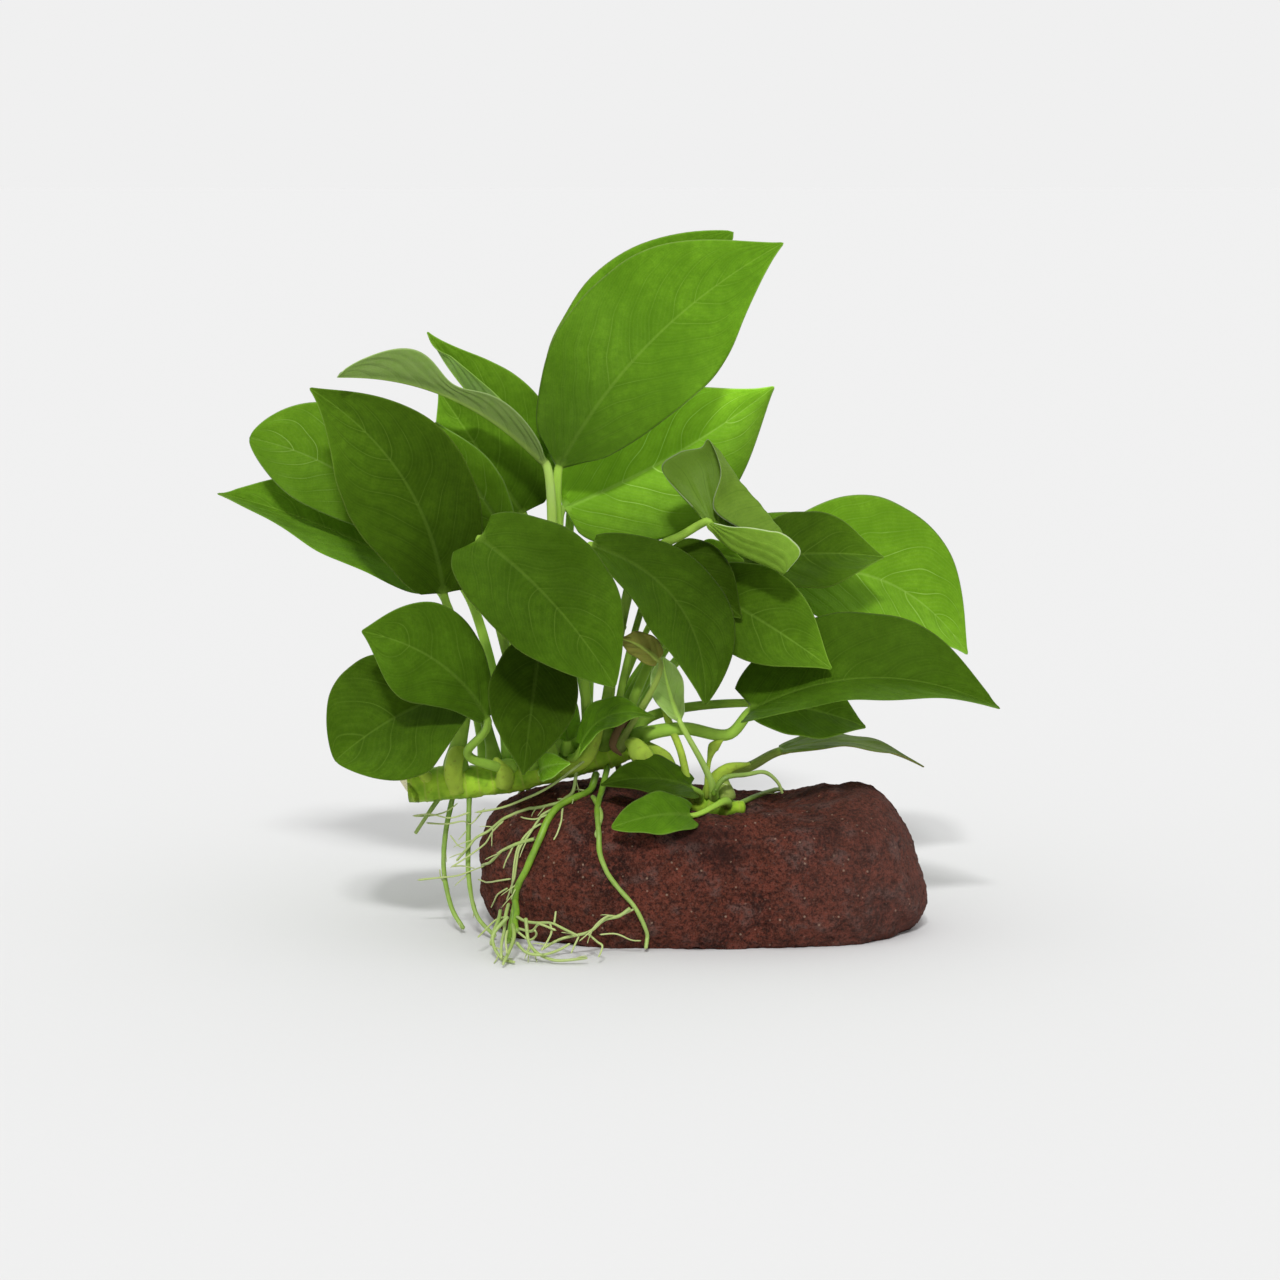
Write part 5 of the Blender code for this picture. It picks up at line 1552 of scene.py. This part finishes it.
ROOTS = (
    # From the overhanging end of the rhizome, hanging free.
    Root("root_left_long",
         ((-68, -6, 37, 0), (-70, -7, 27, 0), (-70.5, -8, 17, 0), (-68.5, -9, 7, 0), (-65, -11, 1.2, 0)),
         (0.75, 0.6),
         (Strand(((-77.8, -9, 14.4, 0), (-71.4, -9, 15.1, 0), (-66.4, -12, 16.3, 0),
                  (-61.8, -13, 18.2, 0), (-59.2, -10.2, 18.8, 1))),
          Strand(((-68.8, -8, 26.7, 0), (-66.5, -9, 23.9, 0), (-64.7, -10, 23.4, 0)), (0.22, 0.15)),
          Strand(((-71.6, -8, 17.3, 0), (-71.2, -8, 14.5, 0), (-68.9, -8.5, 11.7, 0)), (0.2, 0.15))), 4),
    Root("root_left_inner",
         ((-63.5, -7, 38, 0), (-63.7, -10, 27, 0), (-63.6, -12, 16, 0), (-61.5, -14, 6, 0),
          (-56, -20, 1.1, 0)), (0.75, 0.55),
         (Strand(((-68.3, -9, 18.2, 0), (-65.1, -12, 18.9, 0), (-61.9, -12, 18.2, 0)), (0.25, 0.15)),),
         5),
    Root("root_left_short",
         ((-71, -7.5, 37.6, 0), (-75, -10, 32, 0), (-78, -11, 27.5, 0)), (0.7, 0.5),
         (Strand(((-78.7, -9, 32, 0), (-73.8, -9, 32.1, 0), (-69.7, -9, 33.2, 0), (-66.5, -8, 35.4, 0))),
          Strand(((-75.2, -10, 30.3, 0), (-69.7, -10, 30, 0), (-65.1, -10, 30.8, 0),
                  (-62.8, -10, 30.1, 0), (-59.1, -10, 34.5, 0)), (0.28, 0.2)))),
    # Down the front of the stone.
    Root("root_front_broad",
         ((-29, -7, 44, 0), (-32, -12.8, 37.9, 1), (-38.8, -18.1, 35.6, 1), (-43.7, -24.1, 28.5, 1),
          (-46.7, -24.6, 21.5, 1), (-50, -22.3, 13.8, 1), (-51.5, -25, 7, 0), (-52.5, -30, 1.5, 0)),
         (1, 0.8),
         (Strand(((-38.4, -17.4, 36, 1), (-43.3, -19, 34, 1), (-44.2, -20.2, 32.8, 1),
                  (-46.9, -22.2, 29.1, 1), (-49.2, -22.3, 25.9, 1), (-50.1, -22.7, 21.8, 1),
                  (-50.6, -22.5, 18.1, 1), (-51.7, -21.3, 15, 1), (-53, -19.6, 11, 1)), (0.4, 0.25)),
          Strand(((-43.3, -21.7, 32.2, 1), (-46.5, -21.6, 30.3, 1), (-49.6, -22, 26.3, 1),
                  (-50.5, -22.2, 22.6, 1), (-51, -22.1, 18, 1), (-51.5, -20.9, 13.1, 1)), (0.35, 0.3)),
          Strand(((-42, -19.6, 34.1, 1), (-45.1, -19.5, 32.9, 1), (-47.9, -17.8, 32.8, 1),
                  (-49.3, -16.3, 33, 1)), (0.3, 0.2)),
          Strand(((-37.9, -18.5, 35.7, 1), (-38.3, -23.1, 32.9, 1), (-39.4, -25.1, 30.1, 1),
                  (-40.3, -25.6, 28.6, 1)), (0.3, 0.2)),
          Strand(((-35.6, -9.3, 38.6, 1), (-34.5, -8, 39.4, 1), (-32.2, -9, 39.3, 1),
                  (-30.8, -9.2, 38.6, 1)), (0.25, 0.2)),
          Strand(((-39.6, -13.3, 37, 1), (-38, -13.8, 37.1, 1), (-36.2, -15.8, 36.8, 1),
                  (-34.8, -14.5, 37.3, 1)), (0.3, 0.3))), 6),
    Root("root_front_side",
         ((-45.5, -24.2, 28.8, 1), (-50.5, -21.4, 26.6, 1), (-54.3, -19.2, 24.3, 1),
          (-57.1, -16, 20.9, 1), (-59.8, -8.2, 18.4, 1)), (0.5, 0.35),
         (Strand(((-50.6, -21.2, 27, 1), (-52.4, -20.8, 23.3, 1), (-53.8, -19.9, 19.8, 1)), (0.3, 0.2)),
          Strand(((-51.5, -21.7, 17.5, 1), (-55.3, -18, 16.2, 1), (-58.8, -10.4, 14.1, 1),
                  (-61.5, -8, 14.5, 0)), (0.28, 0.2)),
          Strand(((-52.4, -20.6, 14.9, 1), (-55.3, -17.4, 12.4, 1), (-56.6, -14.9, 9.5, 1),
                  (-57.3, -12.9, 7.7, 1)), (0.28, 0.2))), 3),
    Root("root_front_thin",
         ((-26, -7, 46, 0), (-28.7, -19.4, 36.4, 1), (-28.3, -28, 30.5, 1), (-27.8, -29.8, 25, 1),
          (-24.4, -30.9, 18.5, 1), (-18.6, -32.4, 11.8, 1), (-15.7, -31.9, 5.5, 1), (-16, -33.8, 0.9, 0)),
         (0.85, 0.5),
         (Strand(((-30.3, -14.7, 37.8, 1), (-28.8, -19.5, 36.4, 1), (-27.7, -23.3, 34.3, 1),
                  (-28.5, -26.8, 31.8, 1), (-29, -28, 30.2, 1), (-27.8, -28.9, 29, 1)), (0.7, 0.5)),)),
    Root("root_front_branch",
         ((-20, -35.5, 12.5, 0), (-23, -37, 10.7, 0), (-27, -38, 9.8, 0), (-31, -39, 6.8, 0),
          (-38, -41, 5.5, 0), (-43.5, -43, 3, 0)), (0.5, 0.35),
         (Strand(((-18.9, -33.5, 11.9, 0), (-22.9, -36.2, 10.5, 0), (-26, -38.9, 11.1, 0),
                  (-28.6, -41.6, 9.8, 0), (-30.4, -44.3, 8.2, 0), (-33.4, -47, 6.1, 0))),
          Strand(((-33.4, -43, 6.7, 0), (-34.7, -45, 4.3, 0), (-35.4, -47, 2.9, 0)), (0.3, 0.2)),
          Strand(((-31.3, -40, 6.8, 0), (-28.6, -43.5, 5.2, 0), (-27.3, -45, 4.6, 0),
                  (-27.7, -46.5, 3.1, 0), (-28.3, -48, 2.2, 0)), (0.3, 0.25)),
          Strand(((-28.2, -38, 5.9, 0), (-23.8, -37, 5.9, 0), (-19.8, -36, 4, 0), (-17.1, -35, 3.6, 0)),
                 (0.25, 0.2))), 6),
    Root("root_over_left",
         ((-33, -7, 48, 0), (-37, -15, 44, 1), (-43, -18, 42, 1), (-50, -17, 39, 1), (-58, -14, 32, 1),
          (-63, -13, 25, 0), (-67, -11, 20, 0)), (0.5, 0.35),
         (Strand(((-28.7, -13, 50.7, 0), (-34.9, -14, 46, 0), (-42.1, -15, 40.8, 0),
                  (-49.1, -14, 37.3, 0), (-54.8, -12, 34.8, 0), (-62, -12, 33.5, 0)), (0.45, 0.3)),
          Strand(((-68.5, -14, 18.8, 0), (-63.1, -14, 22.3, 0), (-57.3, -13, 26.6, 0), (-53, -14, 31, 0)),
                 (0.25, 0.3)),
          Strand(((-78.6, -13, 32.8, 0), (-73.8, -14, 33.5, 0), (-68.4, -14, 32.4, 0), (-63, -14, 34, 0)),
                 (0.2, 0.25))), 8),
    # Spread on what the stone stands on.
    Root("root_floor_left",
         ((-52, -38.5, 11, 0), (-56, -41, 6, 0), (-54, -43, 1, 0), (-50, -48, 0.8, 0)), (0.55, 0.35),
         (Strand(((-50.8, -24, 12.4, 0), (-50.2, -27.3, 9.9, 0), (-50.5, -30.7, 7.4, 0),
                  (-49.8, -34, 5.8, 0)), (0.9, 0.8)),
          Strand(((-52.2, -28, 12.3, 0), (-52.9, -33.5, 9.9, 0), (-53.1, -39, 7, 0),
                  (-53.6, -44.5, 4.6, 0), (-53.4, -50, 2.2, 0)), (0.5, 0.35)),
          Strand(((-51, -36, 8.6, 0), (-50.4, -41.3, 6.2, 0), (-51.6, -46.7, 3.3, 0),
                  (-53.1, -52, 0.9, 0)), (0.6, 0.4)),
          Strand(((-54.6, -24, 9.6, 0), (-54.9, -29.3, 8, 0), (-56, -34.7, 6, 0), (-56.5, -40, 3.3, 0)),
                 (0.5, 0.5)),
          Strand(((-52.7, -26, 8.2, 0), (-55.7, -30, 8, 0), (-58.3, -34, 6.2, 0), (-60.1, -38, 5.1, 0)),
                 (0.3, 0.25)),
          Strand(((-52.1, -42, 8.1, 0), (-52.4, -46, 6.3, 0), (-51.9, -50, 3.4, 0)), (0.35, 0.25))), 6),
    Root("root_floor_middle",
         ((-47.5, -38, 10.5, 0), (-46, -43, 4, 0), (-40, -47, 1.2, 0), (-31, -48, 2, 0)), (0.5, 0.35),
         (Strand(((-50.3, -30, 9.1, 0), (-47.6, -32.8, 8.3, 0), (-44.3, -35.6, 8.5, 0),
                  (-40.7, -38.4, 9.1, 0), (-37.1, -41.2, 8, 0), (-33.5, -44, 6.9, 0)), (0.45, 0.35)),
          Strand(((-49.7, -36, 7.2, 0), (-46, -38.5, 6.9, 0), (-44.2, -41, 9.3, 0),
                  (-42.8, -43.5, 9.7, 0), (-39.2, -46, 8.8, 0)), (0.4, 0.3)),
          Strand(((-49.8, -46, 5.9, 0), (-47.1, -46.5, 3.1, 0), (-42.7, -47, 2.6, 0),
                  (-38.3, -47.5, 4.1, 0), (-35.6, -48, 5.9, 0)), (0.5, 0.35)),
          Strand(((-49.6, -40, 7.2, 0), (-46.4, -42, 5.4, 0), (-44.5, -44, 7.2, 0), (-44.9, -46, 9, 0)),
                 (0.35, 0.3)),
          Strand(((-41, -42, 9.9, 0), (-40.5, -44.7, 8.3, 0), (-41.4, -47.3, 6.5, 0),
                  (-43.1, -50, 4.3, 0)), (0.3, 0.25)),
          Strand(((-39.6, -36, 11.8, 0), (-39.8, -37, 10.2, 0), (-40, -38, 9, 0)), (0.25, 0.3))), 6),
    # Behind the right of the crown, and down the back of the stone.
    Root("root_right",
         ((2, -11.5, 38, 0), (5, -13, 43, 0), (11, -10, 43.5, 0), (16, -8, 43.8, 0), (19.5, -7, 41, 0),
          (21, -6, 37.5, 0)), (0.8, 0.4),
         (), 2),
    Root("root_back_left",
         ((-50, 0, 42, 0), (-52, 14, 38, 1), (-55, 24, 30, 1), (-54, 29, 18, 1), (-50, 33, 6, 1),
          (-48, 37, 1.2, 0)), (0.85, 0.5),
         (), 14),
    Root("root_back_middle",
         ((-24, 1, 45, 0), (-21, 14, 38, 1), (-16, 28, 33.5, 0), (-14, 33, 20, 1), (-20, 34, 8, 1),
          (-24, 38, 1.1, 0)), (1, 0.55),
         (), 16),
    Root("root_back_right",
         ((6, -2, 33, 1), (14, 10, 33, 1), (22, 24, 30, 1), (24, 32, 18, 1), (20, 35, 8, 1)), (0.8, 0.4),
         (), 12),
)


def main() -> None:
    """Builds the studio and the plant in order."""
    logging.basicConfig(level=logging.INFO, format="%(message)s")
    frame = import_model()
    Studio().build()
    log.info("studio: camera, floor and lamps")

    # The roots lie on the solid stone's skin, which is looked up in millimetres.
    shell = bmesh.new()
    shell.from_mesh(frame["nodes"]["stone"].data)
    bmesh.ops.scale(shell, vec=(1 / MM, 1 / MM, 1 / MM), verts=shell.verts)
    skin = BVHTree.FromBMesh(shell)
    shell.free()
    Stone().build(LavaStone().make())

    waxy = RhizomeSkin().make()
    rhizomes = {rhizome.name: rhizome for rhizome in RHIZOMES}
    for rhizome in RHIZOMES:
        rhizome.build(waxy)
    greens = {tone: tone.value.make() for tone in Tone}
    for leaf in LEAVES:
        leaf.build(rhizomes, greens[leaf.tone])
    fresh = RootSkin().make()
    for root in ROOTS:
        root.build(skin, fresh)


if __name__ == "__main__":
    main()
